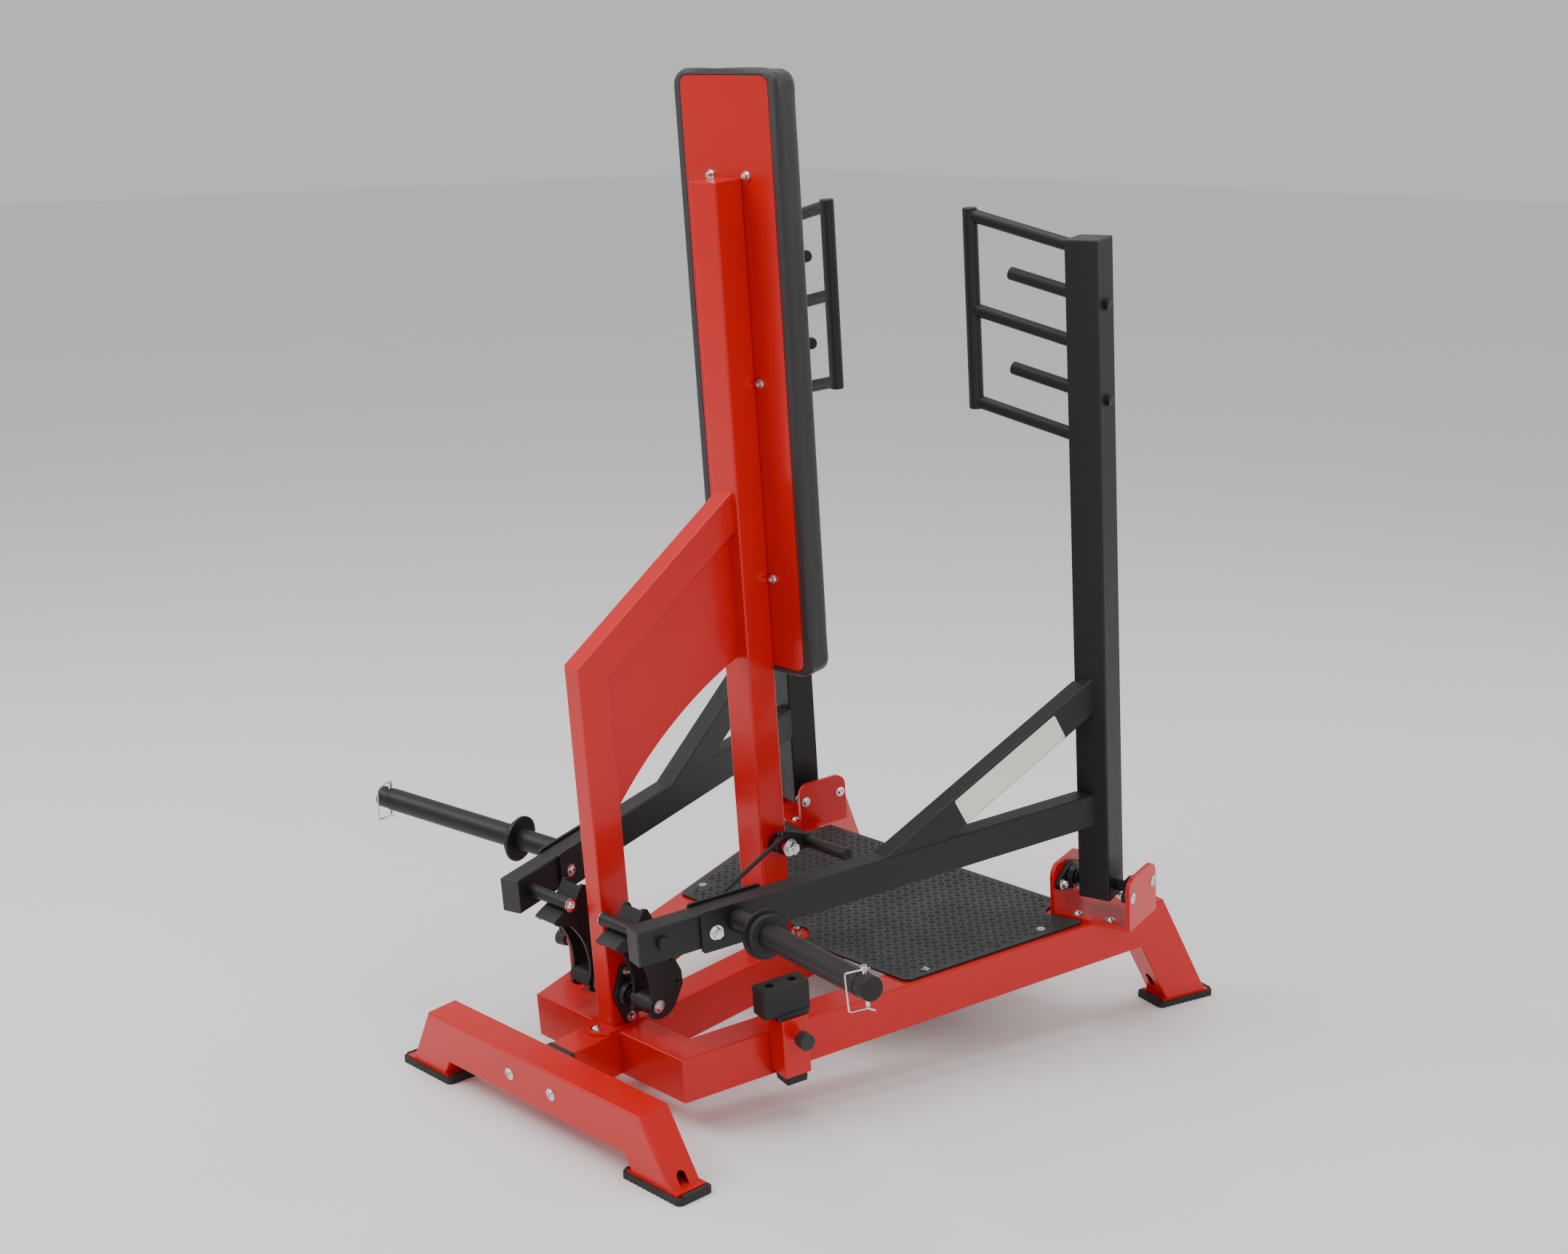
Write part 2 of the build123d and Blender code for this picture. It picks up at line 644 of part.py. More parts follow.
def plate_frame():
    """Location of the rating plate on the brace's outer face, X up along the brace."""
    tilt = radians(BRACE_TILT)
    plane = Plane((PLATE_AT[0], SLIM_W / 2, PLATE_AT[1]), x_dir=(-cos(tilt), 0, -sin(tilt)), z_dir=(0, 1, 0))
    return beam_frame() * Location(plane)


def id_plate():
    """Blank rating plate on the outer face of the brace."""
    length, height, thick = PLATE
    return plate_frame() * extrude(RectangleRounded(length, height, 4), thick)


def arm_screws():
    """Bolts of the left arm: two through the clamp plates, one in the catch pin, four rivets."""
    face = SLIM_W / 2 + CLAMP_T
    bolts = []
    for s in CLAMP_BOLTS:
        bolts.append(hex_screw(beam_frame() * facing((s, face, 395), (0, 1, 0)), 19, 2 * face))
        bolts.append(button_screw(beam_frame() * facing((s, -face, 395), (0, -1, 0)), 10))
    pin_end = facing((CATCH_PIN[0], 52.7, CATCH_PIN[1]), (0, -1, 0))
    bolts.append(button_screw(pin_end, 10))
    for x in (-140, 140):
        for y in (-24, 24):
            rivet = Pos(x, y, PLATE[2] + 0.5) * Cylinder(2.6, 1.0)
            bolts.append(plate_frame() * fillet(rivet.edges().group_by(Axis.Z)[-1], 0.6))
    return group(*bolts)


def horn_frame():
    """Location where the horn's axis crosses the beam's middle, Z out along the horn."""
    start = beam_frame() * Location((HORN_S, 0, HORN_Z))
    return start * Location((0, 0, 0), (-90 + HORN_TILT, 0, 0))


def weight_horn():
    """Horn for the weight discs, with its welded stop flange and a hole for the lock pin."""
    horn = Pos(0, 0, HORN_END / 2) * Cylinder(HORN_R - 1, HORN_END)
    horn = fillet(horn.faces().sort_by(Axis.Z)[-1].edges(), 1.5)
    low, high = HORN_SEAT
    horn += Pos(0, 0, (low + high) / 2) * Cylinder(HORN_R, high - low)
    horn -= Pos(0, 0, (HORN_END - 5) / 2 - 5) * Cylinder(HORN_R - 4, HORN_END - 5)
    flange = Pos(0, 0, COLLAR_AT + 3) * Cylinder(COLLAR_R, 6)
    flange -= Pos(0, 0, COLLAR_AT + 3) * Cylinder(HORN_R - 2, 8)
    horn += flange
    horn -= Pos(0, 0, LOCK_PIN_AT) * Rot(90, 0, 0) * Cylinder(LOCK_PIN_R + RUNNING, 80)
    horn = horn_frame() * horn
    yaw = radians(BEAM_YAW)
    outside = (beam_frame() * Location((0, SLIM_W / 2 + CLAMP_T, 0))).position
    return keep(horn, outside, (-sin(yaw), cos(yaw), 0))


def horn_collar():
    """Rubber bumper ring against the horn's stop flange."""
    ring = Pos(0, 0, COLLAR_AT + 6 + 6) * Cylinder(COLLAR_R - 9, 12)
    ring = fillet(ring.faces().sort_by(Axis.Z)[-1].edges(), 4)
    ring -= Pos(0, 0, COLLAR_AT + 12) * Cylinder(HORN_R - 0.9, 20)
    return horn_frame() * ring


def handle_ladder():
    """Grip ladder on the inner side of the upright: one standing bar and three rungs."""
    parts = rod((0, GRIP_IN, 1279), (0, GRIP_IN, 1710), GRIP_R)
    parts = fillet(parts.edges().filter_by(GeomType.CIRCLE), 3)
    for z in (1626.5, 1427.0, 1227.3):
        start = (0, GRIP_IN, z + GRIP_SLOPE * GRIP_IN)
        parts += rod(start, (0, 0, z), CROSS_GRIP_R)
    return arm_frame() * keep(parts, (0, -POST / 2, 0), (0, -1, 0))


def grip_pegs():
    """Two straight pegs between the rungs; their tails show on the upright's outer face."""
    parts = []
    for z in (1529.0, 1327.5):
        tip = Vector(0, -185, z - GRIP_SLOPE * 185)
        peg = rod(tip, (0, 60, z + GRIP_SLOPE * 60), CROSS_GRIP_R)
        rounded = fillet(peg.edges().filter_by(GeomType.CIRCLE), 5)
        parts.append(keep(rounded, (0, -POST / 2, 0), (0, -1, 0)))
        tail = rod((0, 0, z), (0, 46.5, z + GRIP_SLOPE * 46.5), CROSS_GRIP_R - 2)
        parts.append(keep(tail, (0, POST / 2, 0), (0, 1, 0)))
    return arm_frame() * group(*parts)


def catch_pin():
    """Tube through the beam's rear end that the catch lever holds up."""
    x, z = CATCH_PIN
    return rod((x, 52.7, z), (x, 241, z), CATCH_PIN_R)


def lock_pin():
    """Straight locking pin through the end of the horn."""
    pin = Cylinder(LOCK_PIN_R, 78)
    head = Pos(0, 0, 36) * Cylinder(6.5, 8)
    body = Rot(90, 0, 0) * (pin + head)
    body -= Pos(0, -36, 0) * Cylinder(1.85, 40)
    return horn_frame() * Location((0, 0, LOCK_PIN_AT)) * body


def lock_bail():
    """Square wire bail of the locking pin, round the rear of the horn."""
    wire = 1.7
    corners = [(-6, -36, 9), (-41, -36, 0), (-41, 39, 0), (-1, 43, 0), (14, 52, 0)]
    path = FilletPolyline(*[Vector(*corner) for corner in corners], radius=5)
    bail = sweep(Plane(path @ 0, z_dir=path % 0) * Circle(wire), path)
    pivot = rod((-7, -36, 9.3), (7, -36, 9.3), wire)
    crank = rod((0, -36, -9.5), (0, -36, 10.5), wire)
    return horn_frame() * Location((0, 0, LOCK_PIN_AT)) * (bail + pivot + crank)


# ================================================================ catch
def on_ledge(angle, below=0.0):
    """Point of the catch ledge, an arc about the shaft just under the catch pin."""
    x, z = SHAFT
    pin_reach = hypot(CATCH_PIN[0] - x, CATCH_PIN[1] - z)
    reach = pin_reach - CATCH_PIN_R - 0.5 - below
    return (x + reach * sin(radians(angle)), z + reach * cos(radians(angle)))


def lever_outline():
    """Side view of a catch lever: hub, spring lobe, hooked nose with a round ledge."""
    tip, middle, root = on_ledge(-30.5), on_ledge(-21.5), on_ledge(-12.5)
    edges = ThreePointArc(tip, middle, root)
    edges += Polyline(root, (232, 431), (242, 427), (300, 300), (317, 262), (318, 232), (296, 196))
    edges += ThreePointArc((296, 196), (262, 177), (225, 190))
    edges += ThreePointArc((225, 190), (232, 272), (193, 350))
    edges += Polyline((193, 350), (157, 364), tip)
    return make_face(edges)


def lever_tray():
    """Side view of the folded tray that joins a pair of levers under the pin."""
    top = [on_ledge(angle) for angle in (-30.5, -24.5, -18.5)]
    under = [on_ledge(angle, 5) for angle in (-18.5, -24.5, -30.5)]
    edges = ThreePointArc(*top) + Line(top[2], under[0])
    edges += ThreePointArc(*under) + Line(under[2], top[0])
    return make_face(edges)


def catch_levers():
    """Lever pairs on both ends of the catch shaft, joined by a folded plate and a hub."""
    x, z = SHAFT
    outline = lever_outline()
    lever = None
    for y in LEVER_Y:
        plate = plate_xz(outline, y, LEVER_T)
        lever = plate if lever is None else lever + plate
    low, high = LEVER_Y[0] - LEVER_T / 2, LEVER_Y[1] + LEVER_T / 2
    lever += rod((x, low, z), (x, high, z), 22)
    fold_edges = Polyline((208, 398), (230, 428), (236, 424), (214, 394), close=True)
    for fold in (make_face(fold_edges), lever_tray()):
        lever += plate_xz(fold, (low + high) / 2, high - low)
    lever -= rod((x, low - 5, z), (x, high + 5, z), SHAFT_R)
    for hole in ((303, 243), (291, 296)):
        lever -= rod((hole[0], low - 5, hole[1]), (hole[0], high + 5, hole[1]), 4)
    return lever


def catch_shaft():
    """Shaft across the column that carries both lever pairs."""
    x, z = SHAFT
    return rod((x, -130, z), (x, 130, z), SHAFT_R)


def catch_rod_pin():
    """Cross pin of the right lever pair that the connecting rod pulls."""
    x, z = CATCH_EYE
    low, high = LEVER_Y[0] + LEVER_T / 2, LEVER_Y[1] - LEVER_T / 2
    return rod((x, -low, z), (x, -high, z), 5)


def catch_screws():
    """Washers and screws on the ends of the catch shaft."""
    x, z = SHAFT
    return group(*[button_screw(facing((x, y, z), (0, y, 0)), 10) for y in (130, -130)])


# ================================================================ pedal and rod
def pedal():
    """Foot lever: two crank plates on the axle, the foot bar and the rod's pin."""
    axis, foot, eye = PEDAL_AXIS, PEDAL_BAR, PEDAL_EYE
    circles = Pos(*axis) * Circle(21) + Pos(*foot) * Circle(16)
    inner = make_hull(circles.edges())
    circles = Pos(*axis) * Circle(21) + Pos(*foot) * Circle(16) + Pos(*eye) * Circle(9)
    outer = make_hull(circles.edges())
    part = plate_xz(inner, -45, 6) + plate_xz(outer, -69, 6)
    part += rod((foot[0], -42, foot[1]), (foot[0], -188, foot[1]), 13)
    part += rod((eye[0], -70, eye[1]), (eye[0], -86, eye[1]), 5)
    part -= rod((axis[0], -30, axis[1]), (axis[0], -100, axis[1]), CATCH_PIN_R + RUNNING)
    return part


def pedal_cap():
    """Rubber end cap of the foot bar."""
    x, z = PEDAL_BAR
    cap = rod((x, -188, z), (x, -196, z), 14.5)
    return fillet(cap.faces().sort_by(Axis.Y)[0].edges(), 3)


def connecting_rod():
    """Rod from the pedal crank to the catch levers, with a flat eye at each end."""
    front, rear = PEDAL_EYE, CATCH_EYE
    part = rod((rear[0], -ROD_Y, rear[1]), (front[0], -ROD_Y, front[1]), ROD_R)
    for x, z in (front, rear):
        part += rod((x, -ROD_Y + 3, z), (x, -ROD_Y - 3, z), 11)
    x, z = front
    part -= rod((x, -ROD_Y + 9, z), (x, -ROD_Y - 9, z), 5 + RUNNING)
    x, z = rear
    part -= rod((x, -ROD_Y + 9, z), (x, -ROD_Y - 9, z), 6)
    return part


# ================================================================ arm stops
def stop_sleeve():
    """Sleeve welded outside the left side member, with the pull pin's boss."""
    size, wall = SLEEVE
    start, end = (STOP_S, STOP_OFF, SLEEVE_Z[0]), (STOP_S, STOP_OFF, SLEEVE_Z[1])
    sleeve = bar(start, end, (1, 0, 0), size, size, wall=wall)
    boss = rod((STOP_S, STOP_OFF + size / 2 - 2, PULL_Z), (STOP_S, STOP_OFF + size / 2 + 18, PULL_Z), 12.5)
    bore = rod((STOP_S, STOP_OFF, PULL_Z), (STOP_S, STOP_OFF + 80, PULL_Z), 5 + RUNNING)
    return side_frame() * ((sleeve + boss) - bore)


def stop_post():
    """Inner post of the left arm stop, with its head plate and bottom cap."""
    size = SLEEVE[0] - 2 * SLEEVE[1] - 0.8
    tube = bar((STOP_S, STOP_OFF, 38), (STOP_S, STOP_OFF, 186), (1, 0, 0), size, size)
    cap = box((STOP_S - 24, STOP_OFF - 24, 32), (STOP_S + 24, STOP_OFF + 24, 38))
    head = box((STOP_S - 38, 4, SLEEVE_Z[1] + 0.5), (STOP_S + 38, 59, SLEEVE_Z[1] + 12))
    head = fillet(head.edges().filter_by(Axis.Z), 5)
    return side_frame() * (tube + fillet(cap.edges().filter_by(Axis.Z), 4) + head)


def stop_block():
    """Rubber block of the left arm stop, with two screw wells."""
    low = SLEEVE_Z[1] + 12
    block = box((167, 6, low), (276, 57, 256))
    block = fillet(block.edges().filter_by(Axis.Z), 6)
    block = fillet(block.faces().sort_by(Axis.Z)[-1].edges(), 4)
    for s in (195, 248):
        block -= Pos(s, 31.5, 256 - 10) * Cylinder(9, 20.2)
    return side_frame() * block


def pull_pin():
    """Spring pull pin of the left arm stop, with its round knob."""
    out = STOP_OFF + SLEEVE[0] / 2
    pin = rod((STOP_S, out - SLEEVE[1] + 0.3, PULL_Z), (STOP_S, out + 22, PULL_Z), 5)
    knob = rod((STOP_S, out + 20, PULL_Z), (STOP_S, out + 48, PULL_Z), 17.5)
    knob = fillet(knob.edges().filter_by(GeomType.CIRCLE), 4)
    return side_frame() * (pin + knob)


# ================================================================ assembly
def bench_nodes():
    """Every node that is laid out in the bench frame."""
    nodes = {
        "rear_foot": group(rear_beam(), both(rear_leg())),
        "stub_beam": stub_beam(),
        "stub_flange": stub_flange(),
        "cross_member": cross_member(),
        "side_members": both(side_member()),
        "front_legs": both(front_leg()),
        "front_tie": front_tie(),
        "centre_beam": centre_beam(),
        "column": column(),
        "diagonal_brace": diagonal_brace(),
        "gusset": gusset(),
        "post": post(),
        "post_cap": Pos(POST_X, 0, POST_TOP) * tube_cap(POST, POST),
        "pad_panel": pad_panel(),
        "back_pad": back_pad(),
        "pad_screws": pad_screws(),
        "tread_plate": tread_plate(),
        "pivot_brackets": both(pivot_bracket()),
        "arm_bearings": both(arm_bearings()),
        "bearing_bolts": both(arm_bearing_bolts()),
        "catch_bearings": catch_bearings(),
        "frame_screws": group(frame_screws(), tread_screws()),
        "pedal_axle": pedal_axle(),
        "stop_sleeves": both(stop_sleeve()),
        "catch_shaft": group(catch_shaft(), catch_screws()),
        "catch_levers": group(both(catch_levers()), catch_rod_pin()),
        "pedal": group(pedal(), pedal_cap()),
        "connecting_rod": connecting_rod(),
    }
    left = {
        "arm_upright": group(arm_upright(), pivot_shaft()),
        "arm_beam": group(arm_beam(), catch_pin()),
        "arm_brace": arm_brace(),
        "arm_caps": arm_caps(),
        "clamp_plates": clamp_plates(),
        "arm_screws": arm_screws(),
        "weight_horn": weight_horn(),
        "horn_collar": horn_collar(),
        "handles": group(handle_ladder(), grip_pegs()),
        "id_plate": id_plate(),
        "lock_pin": lock_pin(),
        "lock_bail": lock_bail(),
        "stop_post": stop_post(),
        "stop_block": stop_block(),
        "pull_pin": pull_pin(),
    }
    for name, part in left.items():
        nodes[name + "_left"] = part
        nodes[name + "_right"] = to_right(part)
    return nodes


def main():
    os.makedirs("parts", exist_ok=True)
    place = stand()
    nodes = {name: place * part for name, part in bench_nodes().items()}
    nodes["foot_plates"] = foot_plates()
    nodes["rubber_feet"] = rubber_feet()
    for name, part in nodes.items():
        export_step(part, os.path.join("parts", name + ".step"))
    print(len(nodes), "nodes")


if __name__ == "__main__":
    main()
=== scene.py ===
"""Looks of a plate-loaded standing chest press: pad, tread lugs, finishes and stage."""

import json
from math import cos, radians, sin

import bpy
from mathutils import Matrix, Vector


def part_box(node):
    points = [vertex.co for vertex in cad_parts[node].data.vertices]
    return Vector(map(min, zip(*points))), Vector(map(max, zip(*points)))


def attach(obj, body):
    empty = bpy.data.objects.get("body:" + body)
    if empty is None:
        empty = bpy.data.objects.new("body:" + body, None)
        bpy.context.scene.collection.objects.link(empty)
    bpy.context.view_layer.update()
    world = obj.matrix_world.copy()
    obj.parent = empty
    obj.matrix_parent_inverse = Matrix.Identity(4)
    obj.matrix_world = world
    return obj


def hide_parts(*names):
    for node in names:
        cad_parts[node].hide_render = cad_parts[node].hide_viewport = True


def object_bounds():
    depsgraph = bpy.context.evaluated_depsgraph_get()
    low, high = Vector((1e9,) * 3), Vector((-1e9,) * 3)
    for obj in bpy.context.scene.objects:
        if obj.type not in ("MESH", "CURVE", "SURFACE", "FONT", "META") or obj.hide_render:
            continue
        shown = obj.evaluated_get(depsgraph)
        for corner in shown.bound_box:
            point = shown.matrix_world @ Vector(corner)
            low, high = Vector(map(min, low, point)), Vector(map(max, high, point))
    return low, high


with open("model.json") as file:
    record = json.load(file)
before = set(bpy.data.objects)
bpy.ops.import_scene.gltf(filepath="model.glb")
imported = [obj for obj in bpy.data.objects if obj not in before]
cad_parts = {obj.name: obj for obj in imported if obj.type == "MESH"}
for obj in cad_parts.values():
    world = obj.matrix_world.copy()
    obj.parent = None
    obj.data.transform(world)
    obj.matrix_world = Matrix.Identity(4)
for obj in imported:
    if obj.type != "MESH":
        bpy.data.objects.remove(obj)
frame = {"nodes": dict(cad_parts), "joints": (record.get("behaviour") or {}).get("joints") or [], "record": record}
CAD_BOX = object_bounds()
NODES = frame["nodes"]
JOINTS = {joint["name"]: joint for joint in frame["joints"]}

bl_info = {
    "name": "Standing chest press",
    "version": (1, 0, 0),
    "blender": (4, 5, 0),
    "location": "View3D > Sidebar > Press",
    "description": "Builds the pad, tread lugs, finishes and stage of a standing chest press",
    "category": "Object",
}

# The machine leans back; its upright direction is the one its arm stops slide along.
UP = Vector(JOINTS["stop_left_lift"]["axis"]).normalized()
LEAN = Matrix.Rotation(Vector((0, 0, 1)).angle(UP), 3, Vector((0, 0, 1)).cross(UP))

# Pad: shares of its settings, and how its cover settles.
INSET_SHARE = 0.8          # of the swell, left for the cover to swell into
REAR_ROLL_SHARE = 0.35     # of the front roll
HELD_SHARE = 0.6           # of a grid cell: how deep the held rear face reaches
SETTLE_FRAMES = 20
PAD_SMOOTH = radians(40)

# Tread lugs: shares of a lug's own length, width and height.
LUG_CORNER_SHARE = 0.42
LUG_TOP = (0.86, 0.62, 1)
LUG_LIFT_SHARE = 0.45
LUG_PROBE_SHARE = 0.85
LUG_SMOOTH = radians(30)
FLAT_WITHIN = 0.002        # metres from a lug's middle to flat plate under it

# Finishes.
# Dust grey that the finishes mix onto up-facing faces: part dust, part painted top light that lightens what faces
# up.
PAINT_DUST_AND_TOP_LIGHT = (0.42, 0.40, 0.38)
VINYL_DUST_AND_TOP_LIGHT = (0.30, 0.29, 0.28)
PAINT_SPECULAR = 0.36
COAT_ROUGHNESS = 0.12

# Stage, in metres and watts. Lights stand from the machine's middle and face it.
LIGHTS = {
    "Key": {"offset": (2.6, 3.4, 3.6), "size": 3.2, "power": 150},
    "Fill": {"offset": (-4.2, 1.2, 1.8), "size": 3.0, "power": 45},
    "Top": {"offset": (0.2, 0.4, 4.6), "size": 3.4, "power": 110},
    "Front": {"offset": (-1.5, -4.4, 2.4), "size": 3.0, "power": 40},
}
SKY_STRENGTH = 0.62
FLOOR_SIZE = 60
VIEW_AZIMUTH, VIEW_ELEVATION = radians(225.39), radians(14.27)
VIEW_DISTANCE = 4.786
VIEW_AIM = Vector((-0.0007, 0.0604, 0.931))
LENS, SENSOR_WIDTH = 50.75, 36.0


# ---------------------------------------------------------------- settings
class PressSizes(bpy.types.PropertyGroup):
    """Sizes of the pieces that are modelled here."""

    pad_width: bpy.props.FloatProperty(
        name="Pad width", description="Width of the back pad", default=0.300, unit="LENGTH")
    pad_height: bpy.props.FloatProperty(
        name="Pad height", description="Height of the back pad along its slope",
        default=1.260, unit="LENGTH")
    pad_depth: bpy.props.FloatProperty(
        name="Pad depth", description="Thickness of the back pad", default=0.068, unit="LENGTH")
    pad_corner: bpy.props.FloatProperty(
        name="Pad corner", description="Radius of the pad's outline corners",
        default=0.036, unit="LENGTH")
    pad_roll: bpy.props.FloatProperty(
        name="Pad edge roll", description="Radius of the roll round the pad's front",
        default=0.016, unit="LENGTH")
    swell: bpy.props.FloatProperty(
        name="Swell", description="Most that the foam may push the cover out",
        default=0.005, unit="LENGTH")
    voxel: bpy.props.FloatProperty(
        name="Cloth grid", description="Mesh size of the pad's cover", default=0.008, unit="LENGTH")
    panel_gap: bpy.props.FloatProperty(
        name="Panel gap", description="Gap between the pad's lip and its panel",
        default=0.0012, unit="LENGTH")
    lug_pitch: bpy.props.FloatProperty(
        name="Lug pitch", description="Spacing of the tread lugs", default=0.024, unit="LENGTH")
    lug_length: bpy.props.FloatProperty(
        name="Lug length", description="Length of a tread lug", default=0.0145, unit="LENGTH")
    lug_width: bpy.props.FloatProperty(
        name="Lug width", description="Width of a tread lug", default=0.0048, unit="LENGTH")
    lug_height: bpy.props.FloatProperty(
        name="Lug height", description="Height of a tread lug", default=0.0018, unit="LENGTH")


def colour(name, description, value):
    """A colour setting."""
    return bpy.props.FloatVectorProperty(
        name=name, description=description, default=value, size=3, subtype="COLOR", min=0, max=1)


class PressColours(bpy.types.PropertyGroup):
    """Colours of the finishes."""

    red: colour("Frame red", "Gloss paint of the fixed frame", (0.62, 0.001, 0.001))
    panel: colour("Panel red", "Gloss paint of the pad's backing panel", (0.58, 0.001, 0.001))
    black: colour("Arm black", "Powder coat of the moving arms", (0.011, 0.011, 0.012))
    tread: colour("Tread black", "Coat of the tread plate", (0.010, 0.011, 0.013))
    zinc: colour("Fastener zinc", "Bright plated fasteners", (0.74, 0.75, 0.76))
    steel: colour("Bare steel", "Ground shafts and spring wire", (0.56, 0.56, 0.57))
    casting: colour("Bearing black", "Painted bearing castings", (0.009, 0.009, 0.010))
    rubber: colour("Rubber", "Feet, bumpers and stop blocks", (0.012, 0.012, 0.012))
    plastic: colour("Cap black", "Moulded tube caps and knobs", (0.016, 0.016, 0.017))
    vinyl: colour("Pad vinyl", "Cover of the back pad", (0.010, 0.010, 0.011))
    cream: colour("Plate cream", "Enamel of the blank rating plates", (0.86, 0.85, 0.77))


def sizes():
    return bpy.context.scene.press_sizes


def colours():
    return bpy.context.scene.press_colours


# ---------------------------------------------------------------- modelling helpers
def deselect():
    """Nothing is left selected, so an operator acts on its own piece only."""
    if bpy.context.object and bpy.context.object.mode != "OBJECT":
        bpy.ops.object.mode_set(mode="OBJECT")
    bpy.ops.object.select_all(action="DESELECT")


def activate(piece):
    deselect()
    piece.select_set(True)
    bpy.context.view_layer.objects.active = piece


def edit_select(piece, mode, wanted):
    """Enters edit mode with only the elements selected that wanted() accepts."""
    activate(piece)
    bpy.ops.object.mode_set(mode="EDIT")
    bpy.ops.mesh.select_mode(type=mode)
    bpy.ops.mesh.select_all(action="DESELECT")
    bpy.ops.object.mode_set(mode="OBJECT")
    mesh = piece.data
    items = {"VERT": mesh.vertices, "EDGE": mesh.edges, "FACE": mesh.polygons}[mode]
    for item in items:
        item.select = bool(wanted(item, mesh))
    bpy.ops.object.mode_set(mode="EDIT")


def block(name, size):
    """A cube primitive, sized in its mesh and centred on the origin."""
    deselect()
    bpy.ops.mesh.primitive_cube_add(size=1, location=(0, 0, 0))
    piece = bpy.context.object
    piece.name = name
    piece.data.name = name
    bpy.ops.object.mode_set(mode="EDIT")
    bpy.ops.transform.resize(value=size)
    bpy.ops.object.mode_set(mode="OBJECT")
    return piece


def apply_modifier(piece, modifier):
    activate(piece)
    bpy.ops.object.modifier_apply(modifier=modifier.name)


def stand_at(piece, place):
    """Leans a piece back with the machine and moves it to its place, in its mesh."""
    piece.data.transform(Matrix.Translation(place) @ LEAN.to_4x4())
    piece.data.update()


def edge_along(axis):
    """Accepts the edges that run along one axis."""
    def wanted(edge, mesh):
        a, b = (mesh.vertices[index].co for index in edge.vertices)
        way = (a - b).normalized()
        return abs(way[axis]) > 0.99
    return wanted


def rounded_block(name, size, corner, segments):
    """A block whose four edges along Y are rounded."""
    piece = block(name, size)
    edit_select(piece, "EDGE", edge_along(1))
    bpy.ops.mesh.bevel(offset=corner, segments=segments, affect="EDGES")
    bpy.ops.object.mode_set(mode="OBJECT")
    return piece


# ---------------------------------------------------------------- shader groups
def new_group(name, inputs, outputs):
    """An empty shader group with float inputs and float or vector outputs."""
    tree = bpy.data.node_groups.new(name, "ShaderNodeTree")
    for label, value in inputs:
        socket = tree.interface.new_socket(label, in_out="INPUT", socket_type="NodeSocketFloat")
        socket.default_value = value
    for label, kind in outputs:
        tree.interface.new_socket(label, in_out="OUTPUT", socket_type=kind)
    return tree, tree.nodes.new("NodeGroupInput"), tree.nodes.new("NodeGroupOutput")


def add(tree, kind, **settings):
    """Adds a node, with its properties and the default values of its inputs."""
    node = tree.nodes.new(kind)
    for key, value in settings.items():
        if key in node.inputs:
            node.inputs[key].default_value = value
        else:
            setattr(node, key, value)
    return node


def maths(tree, operation, first, second):
    """A Math node whose inputs are sockets or numbers."""
    node = add(tree, "ShaderNodeMath", operation=operation)
    for slot, value in zip(node.inputs, (first, second)):
        if isinstance(value, (int, float)):
            slot.default_value = value
        else:
            tree.links.new(value, slot)
    return node.outputs[0]


def noise(tree, coordinate, scale, detail=3.0, rough=0.5):
    """Noise over object coordinates; scale is a socket or a number."""
    node = add(tree, "ShaderNodeTexNoise", Detail=detail, Roughness=rough)
    tree.links.new(coordinate, node.inputs["Vector"])
    if isinstance(scale, (int, float)):
        node.inputs["Scale"].default_value = scale
    else:
        tree.links.new(scale, node.inputs["Scale"])
    return node.outputs["Fac"]


def paint_group():
    """Sprayed paint: orange peel height, slow tone drift, and a patchy gloss."""
    tree, given, result = new_group(
        "Sprayed coat",
        [("Peel scale", 180.0), ("Drift scale", 2.5), ("Gloss", 0.3), ("Gloss spread", 0.06)],
        [("Height", "NodeSocketFloat"), ("Drift", "NodeSocketFloat"),
         ("Roughness", "NodeSocketFloat")])
    place = add(tree, "ShaderNodeTexCoord").outputs["Object"]
    peel = noise(tree, place, given.outputs["Peel scale"], 2.0, 0.45)
    fine = noise(tree, place, 1400.0, 1.0)
    height = maths(tree, "ADD", peel, maths(tree, "MULTIPLY", fine, 0.25))
    drift = noise(tree, place, given.outputs["Drift scale"], 3.0)
    smear = noise(tree, place, 22.0, 5.0, 0.65)
    centred = maths(tree, "SUBTRACT", smear, 0.5)
    spread = maths(tree, "MULTIPLY", centred, given.outputs["Gloss spread"])
    rough = maths(tree, "ADD", given.outputs["Gloss"], maths(tree, "MULTIPLY", spread, 2.0))
    tree.links.new(height, result.inputs["Height"])
    tree.links.new(drift, result.inputs["Drift"])
    tree.links.new(rough, result.inputs["Roughness"])
    return tree


